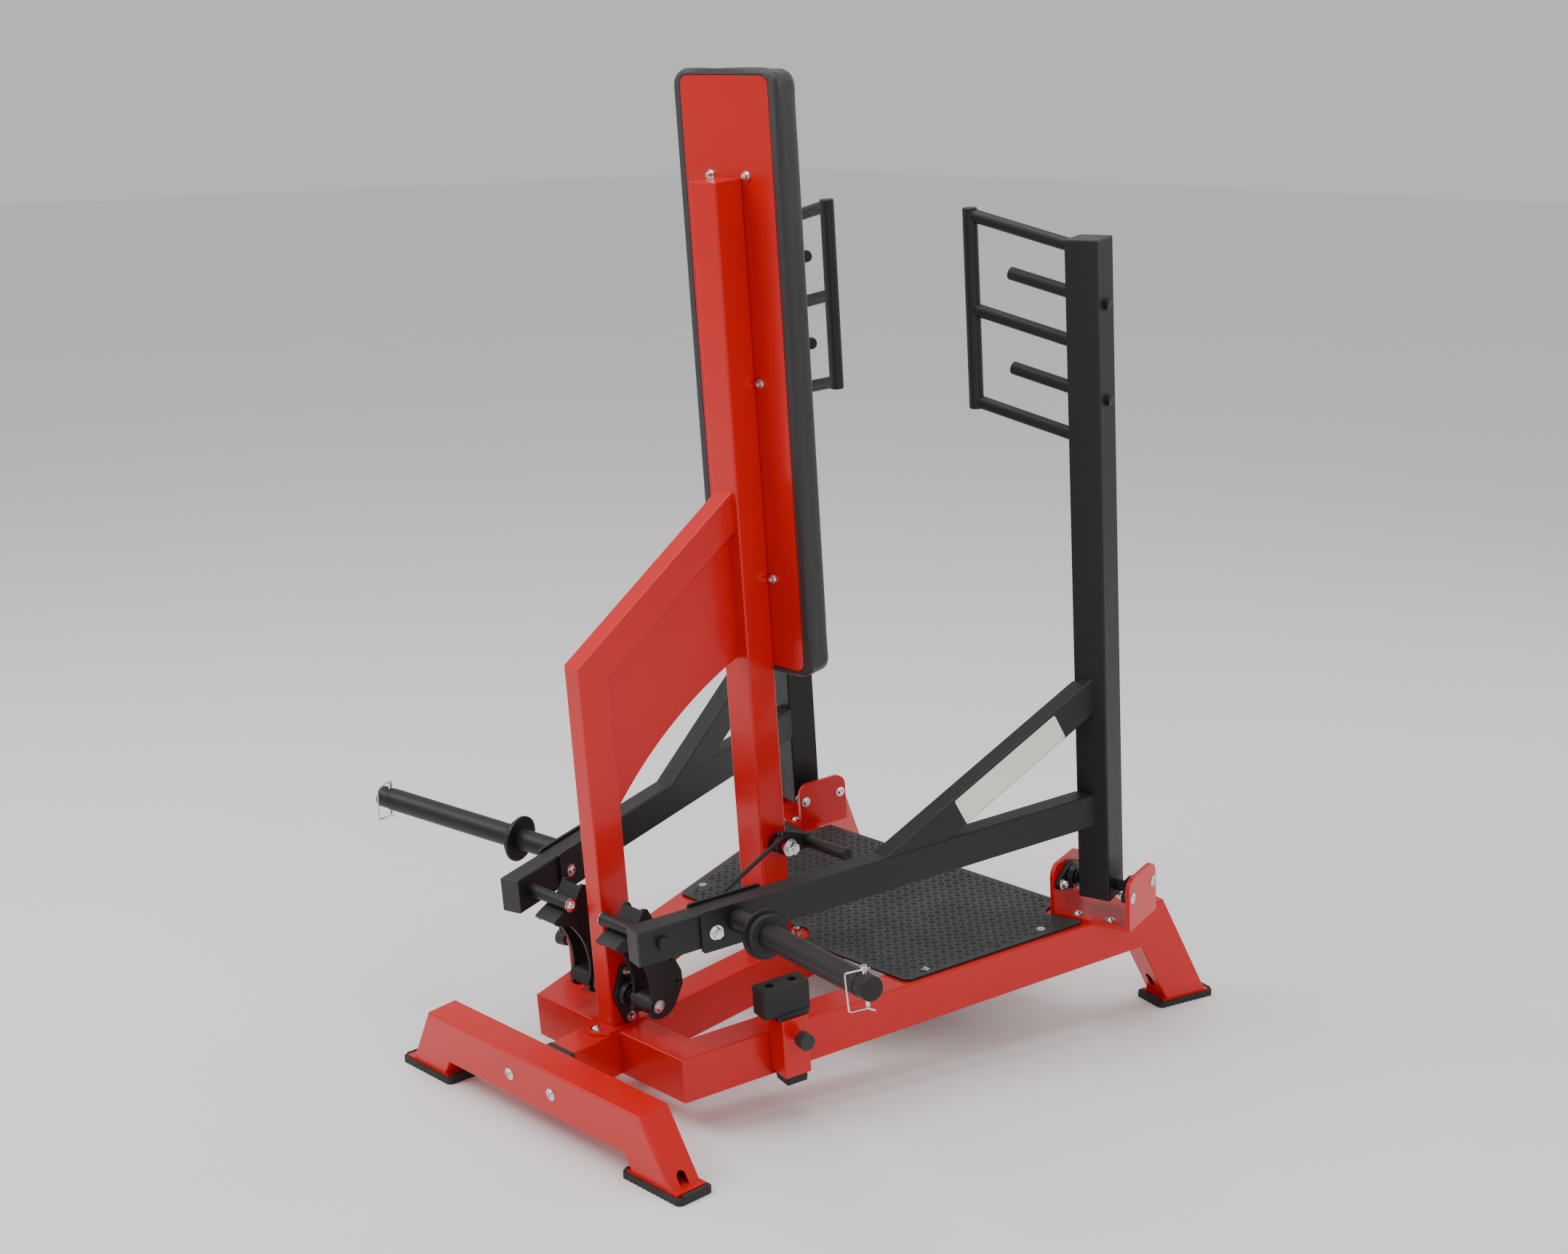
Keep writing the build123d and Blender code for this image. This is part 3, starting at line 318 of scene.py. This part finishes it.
def handling_and_top_light_group():
    """Traces of use: dust and painted top light on what faces up, and fine scuffs."""
    tree, given, result = new_group(
        "Handling and top light",
        [("Dust", 0.2), ("Scuff scale", 60.0), ("Scuff", 0.2)],
        [("Dust mask", "NodeSocketFloat"), ("Scuff mask", "NodeSocketFloat")])
    place = add(tree, "ShaderNodeTexCoord").outputs["Object"]
    normal = add(tree, "ShaderNodeNewGeometry").outputs["Normal"]
    split = add(tree, "ShaderNodeSeparateXYZ")
    tree.links.new(normal, split.inputs[0])
    # Up-facing faces get a cloudy mask that lightens them: part dust, part painted top light.
    facing = maths(tree, "MAXIMUM", split.outputs["Z"], 0.0)
    cloud = noise(tree, place, 9.0, 6.0, 0.6)
    upward_cloud = maths(tree, "MULTIPLY", maths(tree, "POWER", facing, 2.0), cloud)
    dust_and_top_light = maths(tree, "MULTIPLY", upward_cloud, given.outputs["Dust"])
    stretch = add(tree, "ShaderNodeMapping")
    stretch.inputs["Scale"].default_value = (1.0, 0.25, 0.08)
    stretch.inputs["Rotation"].default_value = (0.4, 0.9, 0.3)
    tree.links.new(place, stretch.inputs["Vector"])
    streak = noise(tree, stretch.outputs[0], given.outputs["Scuff scale"], 4.0, 0.7)
    sharp = maths(tree, "MULTIPLY", maths(tree, "SUBTRACT", streak, 0.62), 9.0)
    clamp = add(tree, "ShaderNodeClamp")
    tree.links.new(sharp, clamp.inputs["Value"])
    scuff = maths(tree, "MULTIPLY", clamp.outputs[0], given.outputs["Scuff"])
    tree.links.new(dust_and_top_light, result.inputs["Dust mask"])
    tree.links.new(scuff, result.inputs["Scuff mask"])
    return tree


def grain_group():
    """Pebbled grain of vinyl or moulded rubber."""
    tree, given, result = new_group(
        "Pebble grain",
        [("Cell scale", 700.0), ("Crease", 0.5)],
        [("Height", "NodeSocketFloat"), ("Shade", "NodeSocketFloat")])
    place = add(tree, "ShaderNodeTexCoord").outputs["Object"]
    cells = add(tree, "ShaderNodeTexVoronoi", feature="DISTANCE_TO_EDGE")
    tree.links.new(place, cells.inputs["Vector"])
    tree.links.new(given.outputs["Cell scale"], cells.inputs["Scale"])
    rise = add(tree, "ShaderNodeClamp")
    tree.links.new(maths(tree, "MULTIPLY", cells.outputs["Distance"], 5.0), rise.inputs["Value"])
    crease = maths(tree, "MULTIPLY", noise(tree, place, 35.0, 5.0, 0.6), given.outputs["Crease"])
    tree.links.new(maths(tree, "ADD", rise.outputs[0], crease), result.inputs["Height"])
    tree.links.new(noise(tree, place, 14.0, 4.0), result.inputs["Shade"])
    return tree


def brushed_group():
    """Machined metal: fine turning lines and a cloudy polish."""
    tree, given, result = new_group(
        "Machined metal",
        [("Line scale", 900.0), ("Gloss", 0.22)],
        [("Height", "NodeSocketFloat"), ("Roughness", "NodeSocketFloat"),
         ("Tone", "NodeSocketFloat")])
    place = add(tree, "ShaderNodeTexCoord").outputs["Object"]
    squash = add(tree, "ShaderNodeMapping")
    squash.inputs["Scale"].default_value = (0.12, 1.0, 1.0)
    tree.links.new(place, squash.inputs["Vector"])
    lines = noise(tree, squash.outputs[0], given.outputs["Line scale"], 2.0)
    cloud = noise(tree, place, 45.0, 4.0, 0.6)
    polish = maths(tree, "MULTIPLY", maths(tree, "SUBTRACT", cloud, 0.5), 0.18)
    tree.links.new(lines, result.inputs["Height"])
    tree.links.new(maths(tree, "ADD", given.outputs["Gloss"], polish), result.inputs["Roughness"])
    tree.links.new(cloud, result.inputs["Tone"])
    return tree


GROUPS = {}


def group_named(key):
    """Each shader group is built once, when a material first needs it."""
    makers = {"coat": paint_group, "handling_and_top_light": handling_and_top_light_group,
              "grain": grain_group, "metal": brushed_group}
    if key not in GROUPS:
        GROUPS[key] = makers[key]()
    return GROUPS[key]


# ---------------------------------------------------------------- materials
def start_material(name):
    """A material with its Principled shader and nothing else linked."""
    material = bpy.data.materials.new(name)
    material.use_nodes = True
    tree = material.node_tree
    shader = tree.nodes["Principled BSDF"]
    return material, tree, shader


def use_group(tree, key, **values):
    """Places a shared group with this material's own values."""
    node = tree.nodes.new("ShaderNodeGroup")
    node.node_tree = group_named(key)
    for label, value in values.items():
        node.inputs[label.replace("_", " ")].default_value = value
    return node


def mix_colours(tree, factor, first, second):
    """Mixes two colours, each a socket or a plain colour."""
    node = add(tree, "ShaderNodeMix", data_type="RGBA")
    tree.links.new(factor, node.inputs["Factor"])
    inputs = [item for item in node.inputs if item.type == "RGBA"]
    for slot, value in zip(inputs, (first, second)):
        if isinstance(value, bpy.types.NodeSocket):
            tree.links.new(value, slot)
        else:
            slot.default_value = (*value, 1.0)
    return [item for item in node.outputs if item.type == "RGBA"][0]


def bump(tree, shader, height, distance, strength=1.0):
    """Feeds a height to the shader's normal."""
    node = add(tree, "ShaderNodeBump", Strength=strength, Distance=distance)
    tree.links.new(height, node.inputs["Height"])
    tree.links.new(node.outputs["Normal"], shader.inputs["Normal"])


def shade_of(colour_value, factor):
    return tuple(min(1.0, part * factor) for part in colour_value)


def coated(name, base, gloss, spread, peel, peel_depth, coat, dust_and_top_light, scuff, scuff_tone=1.9):
    """Painted or powder-coated steel."""
    material, tree, shader = start_material(name)
    skin = use_group(tree, "coat", Peel_scale=peel, Gloss=gloss, Gloss_spread=spread)
    hand_and_top_light = use_group(tree, "handling_and_top_light", Dust=dust_and_top_light, Scuff=scuff)
    tone = mix_colours(tree, skin.outputs["Drift"], shade_of(base, 0.9), shade_of(base, 1.08))
    # Up-facing faces mixed towards dust grey: part dust, part painted top light.
    tone = mix_colours(tree, hand_and_top_light.outputs["Dust mask"], tone, PAINT_DUST_AND_TOP_LIGHT)
    tone = mix_colours(tree, hand_and_top_light.outputs["Scuff mask"], tone, shade_of(base, scuff_tone))
    tree.links.new(tone, shader.inputs["Base Color"])
    rough = maths(tree, "ADD", skin.outputs["Roughness"],
                  maths(tree, "MULTIPLY", hand_and_top_light.outputs["Scuff mask"], 0.3))
    tree.links.new(rough, shader.inputs["Roughness"])
    shader.inputs["Specular IOR Level"].default_value = PAINT_SPECULAR
    shader.inputs["Coat Weight"].default_value = coat
    shader.inputs["Coat Roughness"].default_value = COAT_ROUGHNESS
    bump(tree, shader, skin.outputs["Height"], peel_depth)
    return material


def metal(name, base, gloss, lines, depth):
    """Bare or plated metal."""
    material, tree, shader = start_material(name)
    skin = use_group(tree, "metal", Line_scale=lines, Gloss=gloss)
    tone = mix_colours(tree, skin.outputs["Tone"], shade_of(base, 0.82), shade_of(base, 1.12))
    tree.links.new(tone, shader.inputs["Base Color"])
    tree.links.new(skin.outputs["Roughness"], shader.inputs["Roughness"])
    shader.inputs["Metallic"].default_value = 1.0
    bump(tree, shader, skin.outputs["Height"], depth)
    return material


def pebbled(name, base, rough, cells, depth, crease, dust_and_top_light, sheen=0.0):
    """Vinyl, rubber or textured plastic."""
    material, tree, shader = start_material(name)
    skin = use_group(tree, "grain", Cell_scale=cells, Crease=crease)
    hand_and_top_light = use_group(tree, "handling_and_top_light", Dust=dust_and_top_light, Scuff=0.12)
    tone = mix_colours(tree, skin.outputs["Shade"], shade_of(base, 0.75), shade_of(base, 1.35))
    # Up-facing faces mixed towards dust grey: part dust, part painted top light.
    tone = mix_colours(tree, hand_and_top_light.outputs["Dust mask"], tone, VINYL_DUST_AND_TOP_LIGHT)
    tree.links.new(tone, shader.inputs["Base Color"])
    varied = maths(tree, "MULTIPLY", maths(tree, "SUBTRACT", skin.outputs["Shade"], 0.5), 0.2)
    tree.links.new(maths(tree, "ADD", varied, rough), shader.inputs["Roughness"])
    shader.inputs["Sheen Weight"].default_value = sheen
    bump(tree, shader, skin.outputs["Height"], depth)
    return material


FINISHES = {}


def finish_named(key):
    """Each finish is made once and shared by its pieces."""
    pick = colours()
    makers = {
        "red": lambda: coated(
            "Gloss red", pick.red, gloss=0.30, spread=0.05, peel=160.0, peel_depth=0.00025,
            coat=0.22, dust_and_top_light=0.03, scuff=0.05, scuff_tone=1.15),
        "panel": lambda: coated(
            "Panel red", pick.panel, gloss=0.34, spread=0.05, peel=120.0, peel_depth=0.00020,
            coat=0.18, dust_and_top_light=0.02, scuff=0.04, scuff_tone=1.12),
        "black": lambda: coated(
            "Powder black", pick.black, gloss=0.44, spread=0.07, peel=620.0, peel_depth=0.00030,
            coat=0.0, dust_and_top_light=0.05, scuff=0.10),
        "tread": lambda: coated(
            "Tread black", pick.tread, gloss=0.50, spread=0.08, peel=520.0, peel_depth=0.00035,
            coat=0.0, dust_and_top_light=0.16, scuff=0.25, scuff_tone=2.6),
        "casting": lambda: coated(
            "Casting black", pick.casting, gloss=0.40, spread=0.10, peel=240.0,
            peel_depth=0.0009, coat=0.1, dust_and_top_light=0.05, scuff=0.08),
        "cream": lambda: coated(
            "Enamel cream", pick.cream, gloss=0.35, spread=0.05, peel=90.0, peel_depth=0.00010,
            coat=0.2, dust_and_top_light=0.03, scuff=0.12, scuff_tone=0.9),
        "zinc": lambda: metal("Bright zinc", pick.zinc, gloss=0.20, lines=1300.0, depth=0.00006),
        "steel": lambda: metal("Ground steel", pick.steel, gloss=0.28, lines=900.0, depth=0.00010),
        "rubber": lambda: pebbled(
            "Black rubber", pick.rubber, rough=0.66, cells=520.0, depth=0.00025, crease=0.8,
            dust_and_top_light=0.10),
        "plastic": lambda: pebbled(
            "Cap plastic", pick.plastic, rough=0.45, cells=900.0, depth=0.00012, crease=0.4,
            dust_and_top_light=0.05),
        "vinyl": lambda: pebbled(
            "Pad vinyl", pick.vinyl, rough=0.36, cells=640.0, depth=0.00016, crease=0.5,
            dust_and_top_light=0.03, sheen=0.15),
    }
    if key not in FINISHES:
        FINISHES[key] = makers[key]()
    return FINISHES[key]


FINISH_OF_SLOT = {
    "frame_red": "red", "panel_red": "panel", "cap_red": "red", "arm_black": "black",
    "tread_black": "tread", "bearing_black": "casting", "hardware_zinc": "zinc",
    "shaft_steel": "steel", "wire_steel": "zinc", "rubber_black": "rubber",
    "cap_black": "plastic", "pad_black": "vinyl", "plate_cream": "cream",
}


def give(piece, key):
    """Puts one finish on a piece through its material slots."""
    material = finish_named(key)
    if not piece.material_slots:
        piece.data.materials.append(material)
    for slot in piece.material_slots:
        slot.material = material


def paint_slots(slots):
    """Gives every carried-over node of these record slots its finish."""
    for part in frame["record"]["subparts"]:
        if part["material_slot"] in slots:
            give(NODES[part["node"]], FINISH_OF_SLOT[part["material_slot"]])


# ---------------------------------------------------------------- back pad
def inflate(piece, most):
    """Lets the cover swell under its foam's pressure, by no more than a set amount."""
    rest = [vertex.co.copy() for vertex in piece.data.vertices]
    back = max(co.y for co in rest) - sizes().voxel * HELD_SHARE
    held = piece.vertex_groups.new(name="Back")
    held.add([index for index, co in enumerate(rest) if co.y > back], 1.0, "REPLACE")
    cloth = piece.modifiers.new("Cover", "CLOTH")
    cloth.settings.quality = 4
    cloth.settings.mass = 0.4
    cloth.settings.tension_stiffness = 40
    cloth.settings.compression_stiffness = 40
    cloth.settings.bending_stiffness = 2
    cloth.settings.use_pressure = True
    cloth.settings.uniform_pressure_force = 4
    cloth.settings.vertex_group_mass = held.name
    cloth.settings.effector_weights.gravity = 0
    cloth.point_cache.frame_start = 1
    cloth.point_cache.frame_end = SETTLE_FRAMES
    scene = bpy.context.scene
    for step in range(1, SETTLE_FRAMES + 1):
        scene.frame_set(step)
    seen = piece.evaluated_get(bpy.context.evaluated_depsgraph_get())
    moved = [vertex.co.copy() for vertex in seen.data.vertices]
    piece.modifiers.remove(cloth)
    scene.frame_set(1)
    for vertex, start, end in zip(piece.data.vertices, rest, moved):
        shift = end - start
        if shift.length > most:
            shift *= most / shift.length
        vertex.co = start + shift


class PRESS_OT_back_pad(bpy.types.Operator):
    """Upholstered back pad with a rolled front edge and a lip round its panel"""

    bl_idname = "press.back_pad"
    bl_label = "Back pad"

    def execute(self, context):
        size = sizes()
        inset = size.swell * INSET_SHARE
        body = (size.pad_width - 2 * inset, size.pad_depth - inset, size.pad_height - 2 * inset)
        pad = rounded_block("Back_pad", body, size.pad_corner, 7)
        front = -body[1] / 2 + 1e-5
        edit_select(pad, "EDGE", lambda edge, mesh: all(
            mesh.vertices[index].co.y < front for index in edge.vertices))
        bpy.ops.mesh.bevel(offset=size.pad_roll, segments=5, affect="EDGES")
        bpy.ops.object.mode_set(mode="OBJECT")
        edit_select(pad, "EDGE", lambda edge, mesh: all(
            mesh.vertices[index].co.y > -front for index in edge.vertices))
        bpy.ops.mesh.bevel(offset=size.pad_roll * REAR_ROLL_SHARE, segments=3, affect="EDGES")
        bpy.ops.object.mode_set(mode="OBJECT")
        remesh = pad.modifiers.new("Grid", "REMESH")
        remesh.mode = "VOXEL"
        remesh.voxel_size = size.voxel
        apply_modifier(pad, remesh)
        inflate(pad, size.swell)
        finer = pad.modifiers.new("Finer", "SUBSURF")
        finer.levels = 1
        finer.render_levels = 1
        apply_modifier(pad, finer)
        self.fill_outline(pad)
        low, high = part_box("back_pad")
        centre = (low + high) / 2
        behind = LEAN @ Vector((0, inset / 2, 0))
        stand_at(pad, centre + behind)
        self.cut_pocket(pad)
        activate(pad)
        bpy.ops.object.shade_smooth_by_angle(angle=PAD_SMOOTH)
        give(pad, "vinyl")
        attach(pad, "frame")
        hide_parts("back_pad")
        return {"FINISHED"}

    def fill_outline(self, pad):
        """Stretches the settled cover back to the pad's full width and height."""
        spots = [vertex.co for vertex in pad.data.vertices]
        wide = max(spot.x for spot in spots) - min(spot.x for spot in spots)
        tall = max(spot.z for spot in spots) - min(spot.z for spot in spots)
        size = sizes()
        pad.data.transform(Matrix.Diagonal((size.pad_width / wide, 1, size.pad_height / tall, 1)))

    def cut_pocket(self, pad):
        """Sinks the backing panel into the pad's rear face."""
        size = sizes()
        tool = NODES["pad_panel"].copy()
        tool.data = tool.data.copy()
        bpy.context.scene.collection.objects.link(tool)
        tool.parent = None
        for key in list(tool.keys()):
            del tool[key]
        edit_select(tool, "VERT", lambda vertex, mesh: True)
        bpy.ops.mesh.remove_doubles(threshold=1e-6)
        bpy.ops.mesh.normals_make_consistent(inside=False)
        bpy.ops.transform.shrink_fatten(value=size.panel_gap, use_even_offset=True)
        bpy.ops.object.mode_set(mode="OBJECT")
        cut = pad.modifiers.new("Pocket", "BOOLEAN")
        cut.operation = "DIFFERENCE"
        cut.solver = "EXACT"
        cut.object = tool
        apply_modifier(pad, cut)
        bpy.data.objects.remove(tool)


# ---------------------------------------------------------------- tread lugs
class PRESS_OT_tread_lugs(bpy.types.Operator):
    """Raised slip-proof lugs of the tread plate, in two crossing directions"""

    bl_idname = "press.tread_lugs"
    bl_label = "Tread lugs"

    def lug(self, turn, shift):
        """One lug: a bar with a narrower, rounded top."""
        size = sizes()
        bar = block("Lug", (size.lug_length, size.lug_width, size.lug_height))
        edit_select(bar, "EDGE", edge_along(2))
        bpy.ops.mesh.bevel(offset=size.lug_width * LUG_CORNER_SHARE, segments=2, affect="EDGES")
        bpy.ops.object.mode_set(mode="OBJECT")
        edit_select(bar, "FACE", lambda face, mesh: face.normal.z > 0.9)
        bpy.ops.transform.resize(value=LUG_TOP)
        bpy.ops.object.mode_set(mode="OBJECT")
        bar.data.transform(Matrix.Translation(shift) @ Matrix.Rotation(turn, 4, "Z"))
        return bar

    def execute(self, context):
        size = sizes()
        pitch = size.lug_pitch
        low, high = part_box("tread_plate")
        first = self.lug(radians(45), Vector((0, 0, 0)))
        second = self.lug(radians(-45), Vector((pitch / 2, pitch / 2, 0)))
        activate(first)
        second.select_set(True)
        bpy.ops.object.join()
        lugs = first
        lugs.name = "Tread_lugs"
        lugs.data.name = "Tread_lugs"
        per_lug = len(lugs.data.vertices) // 2
        span = high - low
        for axis, label in ((0, "Across"), (1, "Along")):
            repeat = lugs.modifiers.new(label, "ARRAY")
            repeat.use_relative_offset = False
            repeat.use_constant_offset = True
            repeat.constant_offset_displace = [pitch if index == axis else 0 for index in range(3)]
            repeat.count = int(span[axis] / pitch) + 2
            apply_modifier(lugs, repeat)
        plate_up = UP * size.lug_height * LUG_LIFT_SHARE
        middle = (low + high) / 2
        corner = Vector((-span.x / 2, -span.y / 2, 0))
        surface = self.surface_point(middle)
        stand_at(lugs, surface + LEAN @ corner + plate_up)
        self.trim(lugs, per_lug)
        activate(lugs)
        bpy.ops.object.shade_smooth_by_angle(angle=LUG_SMOOTH)
        give(lugs, "tread")
        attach(lugs, "frame")
        return {"FINISHED"}

    def surface_point(self, near):
        """The point of the plate's top face under a point."""
        plate = NODES["tread_plate"]
        hit, point, _, _ = plate.ray_cast(near + UP * 0.1, -UP)
        if not hit:
            raise RuntimeError("the tread plate isn't under its own middle")
        return point

    def trim(self, lugs, per_lug):
        """Deletes the lugs that aren't wholly over the plate's flat top."""
        plate = NODES["tread_plate"]
        mesh = lugs.data
        reach = sizes().lug_length * LUG_PROBE_SHARE
        probes = [LEAN @ Vector((reach * x, reach * y, 0))
                  for x, y in ((0, 0), (1, 1), (1, -1), (-1, 1), (-1, -1))]
        doomed = set()
        for start in range(0, len(mesh.vertices), per_lug):
            block_range = range(start, start + per_lug)
            middle = sum((mesh.vertices[index].co for index in block_range), Vector()) / per_lug
            for probe in probes:
                hit, point, _, _ = plate.ray_cast(middle + probe + UP * 0.02, -UP)
                if not hit or (middle + probe - point).dot(UP) > FLAT_WITHIN:
                    doomed.update(block_range)
                    break
        edit_select(lugs, "VERT", lambda vertex, _: vertex.index in doomed)
        bpy.ops.mesh.delete(type="VERT")
        bpy.ops.object.mode_set(mode="OBJECT")


# ---------------------------------------------------------------- finishes
class PRESS_OT_frame_finish(bpy.types.Operator):
    """Gloss red paint of the fixed frame and its panel"""

    bl_idname = "press.frame_finish"
    bl_label = "Frame finish"

    def execute(self, context):
        paint_slots({"frame_red", "panel_red", "cap_red"})
        return {"FINISHED"}


class PRESS_OT_arm_finish(bpy.types.Operator):
    """Black powder coat of the arms, catch and pedal, and of the tread plate"""

    bl_idname = "press.arm_finish"
    bl_label = "Arm finish"

    def execute(self, context):
        paint_slots({"arm_black", "tread_black", "bearing_black", "plate_cream"})
        return {"FINISHED"}


class PRESS_OT_hardware_finish(bpy.types.Operator):
    """Plated screws, ground shafts and spring wire"""

    bl_idname = "press.hardware_finish"
    bl_label = "Hardware finish"

    def execute(self, context):
        paint_slots({"hardware_zinc", "shaft_steel", "wire_steel"})
        return {"FINISHED"}


class PRESS_OT_moulded_finish(bpy.types.Operator):
    """Rubber feet and bumpers, moulded caps and knobs"""

    bl_idname = "press.moulded_finish"
    bl_label = "Moulded finish"

    def execute(self, context):
        paint_slots({"rubber_black", "cap_black", "pad_black"})
        return {"FINISHED"}


# ---------------------------------------------------------------- stage
class PRESS_OT_stage(bpy.types.Operator):
    """Pale floor, soft studio lights and the camera behind the machine's right side"""

    bl_idname = "press.stage"
    bl_label = "Stage"

    def execute(self, context):
        self.floor()
        self.sky()
        middle = (CAD_BOX[0] + CAD_BOX[1]) / 2
        for name, lamp in LIGHTS.items():
            place = middle + Vector(lamp["offset"])
            self.light(name, place, middle, lamp["size"], lamp["power"])
        self.camera()
        return {"FINISHED"}

    def floor(self):
        deselect()
        bpy.ops.mesh.primitive_plane_add(size=FLOOR_SIZE, location=(0, 0, 0))
        floor = bpy.context.object
        floor.name = "Studio_floor"
        material, tree, shader = start_material("Pale floor")
        place = add(tree, "ShaderNodeTexCoord").outputs["Object"]
        cloud = noise(tree, place, 1.5, 4.0)
        tone = mix_colours(tree, cloud, (0.90, 0.90, 0.90), (0.93, 0.93, 0.93))
        tree.links.new(tone, shader.inputs["Base Color"])
        shader.inputs["Roughness"].default_value = 0.7
        floor.data.materials.append(material)

    def sky(self):
        world = bpy.data.worlds.new("Studio")
        world.use_nodes = True
        background = world.node_tree.nodes["Background"]
        background.inputs["Color"].default_value = (1.0, 1.0, 1.0, 1.0)
        background.inputs["Strength"].default_value = SKY_STRENGTH
        bpy.context.scene.world = world

    def light(self, name, place, target, size, power):
        deselect()
        bpy.ops.object.light_add(type="AREA", location=place)
        lamp = bpy.context.object
        lamp.name = name
        lamp.data.shape = "DISK"
        lamp.data.size = size
        lamp.data.energy = power
        lamp.rotation_euler = (place - target).to_track_quat("Z", "Y").to_euler()

    def camera(self):
        """The view from behind, above the user's right, level with the horizon."""
        back = Vector((
            sin(VIEW_AZIMUTH) * cos(VIEW_ELEVATION),
            -cos(VIEW_AZIMUTH) * cos(VIEW_ELEVATION),
            sin(VIEW_ELEVATION)))
        deselect()
        bpy.ops.object.camera_add(location=VIEW_AIM + back * VIEW_DISTANCE)
        camera = bpy.context.object
        camera.rotation_euler = back.to_track_quat("Z", "Y").to_euler()
        camera.data.sensor_width = SENSOR_WIDTH
        camera.data.lens = LENS
        bpy.context.scene.camera = camera


# ---------------------------------------------------------------- panel and registration
STEPS = (
    "back_pad", "tread_lugs", "frame_finish", "arm_finish", "hardware_finish",
    "moulded_finish", "stage",
)


class PRESS_PT_panel(bpy.types.Panel):
    """Lists the steps and settings of the press"""

    bl_idname = "PRESS_PT_panel"
    bl_label = "Standing press"
    bl_space_type = "VIEW_3D"
    bl_region_type = "UI"
    bl_category = "Press"

    def draw(self, context):
        for step in STEPS:
            self.layout.operator("press." + step)
        for settings in (context.scene.press_sizes, context.scene.press_colours):
            for name in settings.bl_rna.properties.keys():
                if name not in {"rna_type", "name"}:
                    self.layout.prop(settings, name)


CLASSES = (
    PressSizes, PressColours, PRESS_OT_back_pad, PRESS_OT_tread_lugs, PRESS_OT_frame_finish,
    PRESS_OT_arm_finish, PRESS_OT_hardware_finish, PRESS_OT_moulded_finish, PRESS_OT_stage,
    PRESS_PT_panel,
)


def register():
    for item in CLASSES:
        bpy.utils.register_class(item)
    bpy.types.Scene.press_sizes = bpy.props.PointerProperty(type=PressSizes)
    bpy.types.Scene.press_colours = bpy.props.PointerProperty(type=PressColours)


def unregister():
    del bpy.types.Scene.press_colours
    del bpy.types.Scene.press_sizes
    for item in reversed(CLASSES):
        bpy.utils.unregister_class(item)


def main():
    register()
    for step in STEPS:
        getattr(bpy.ops.press, step)()


if __name__ == "__main__":
    main()
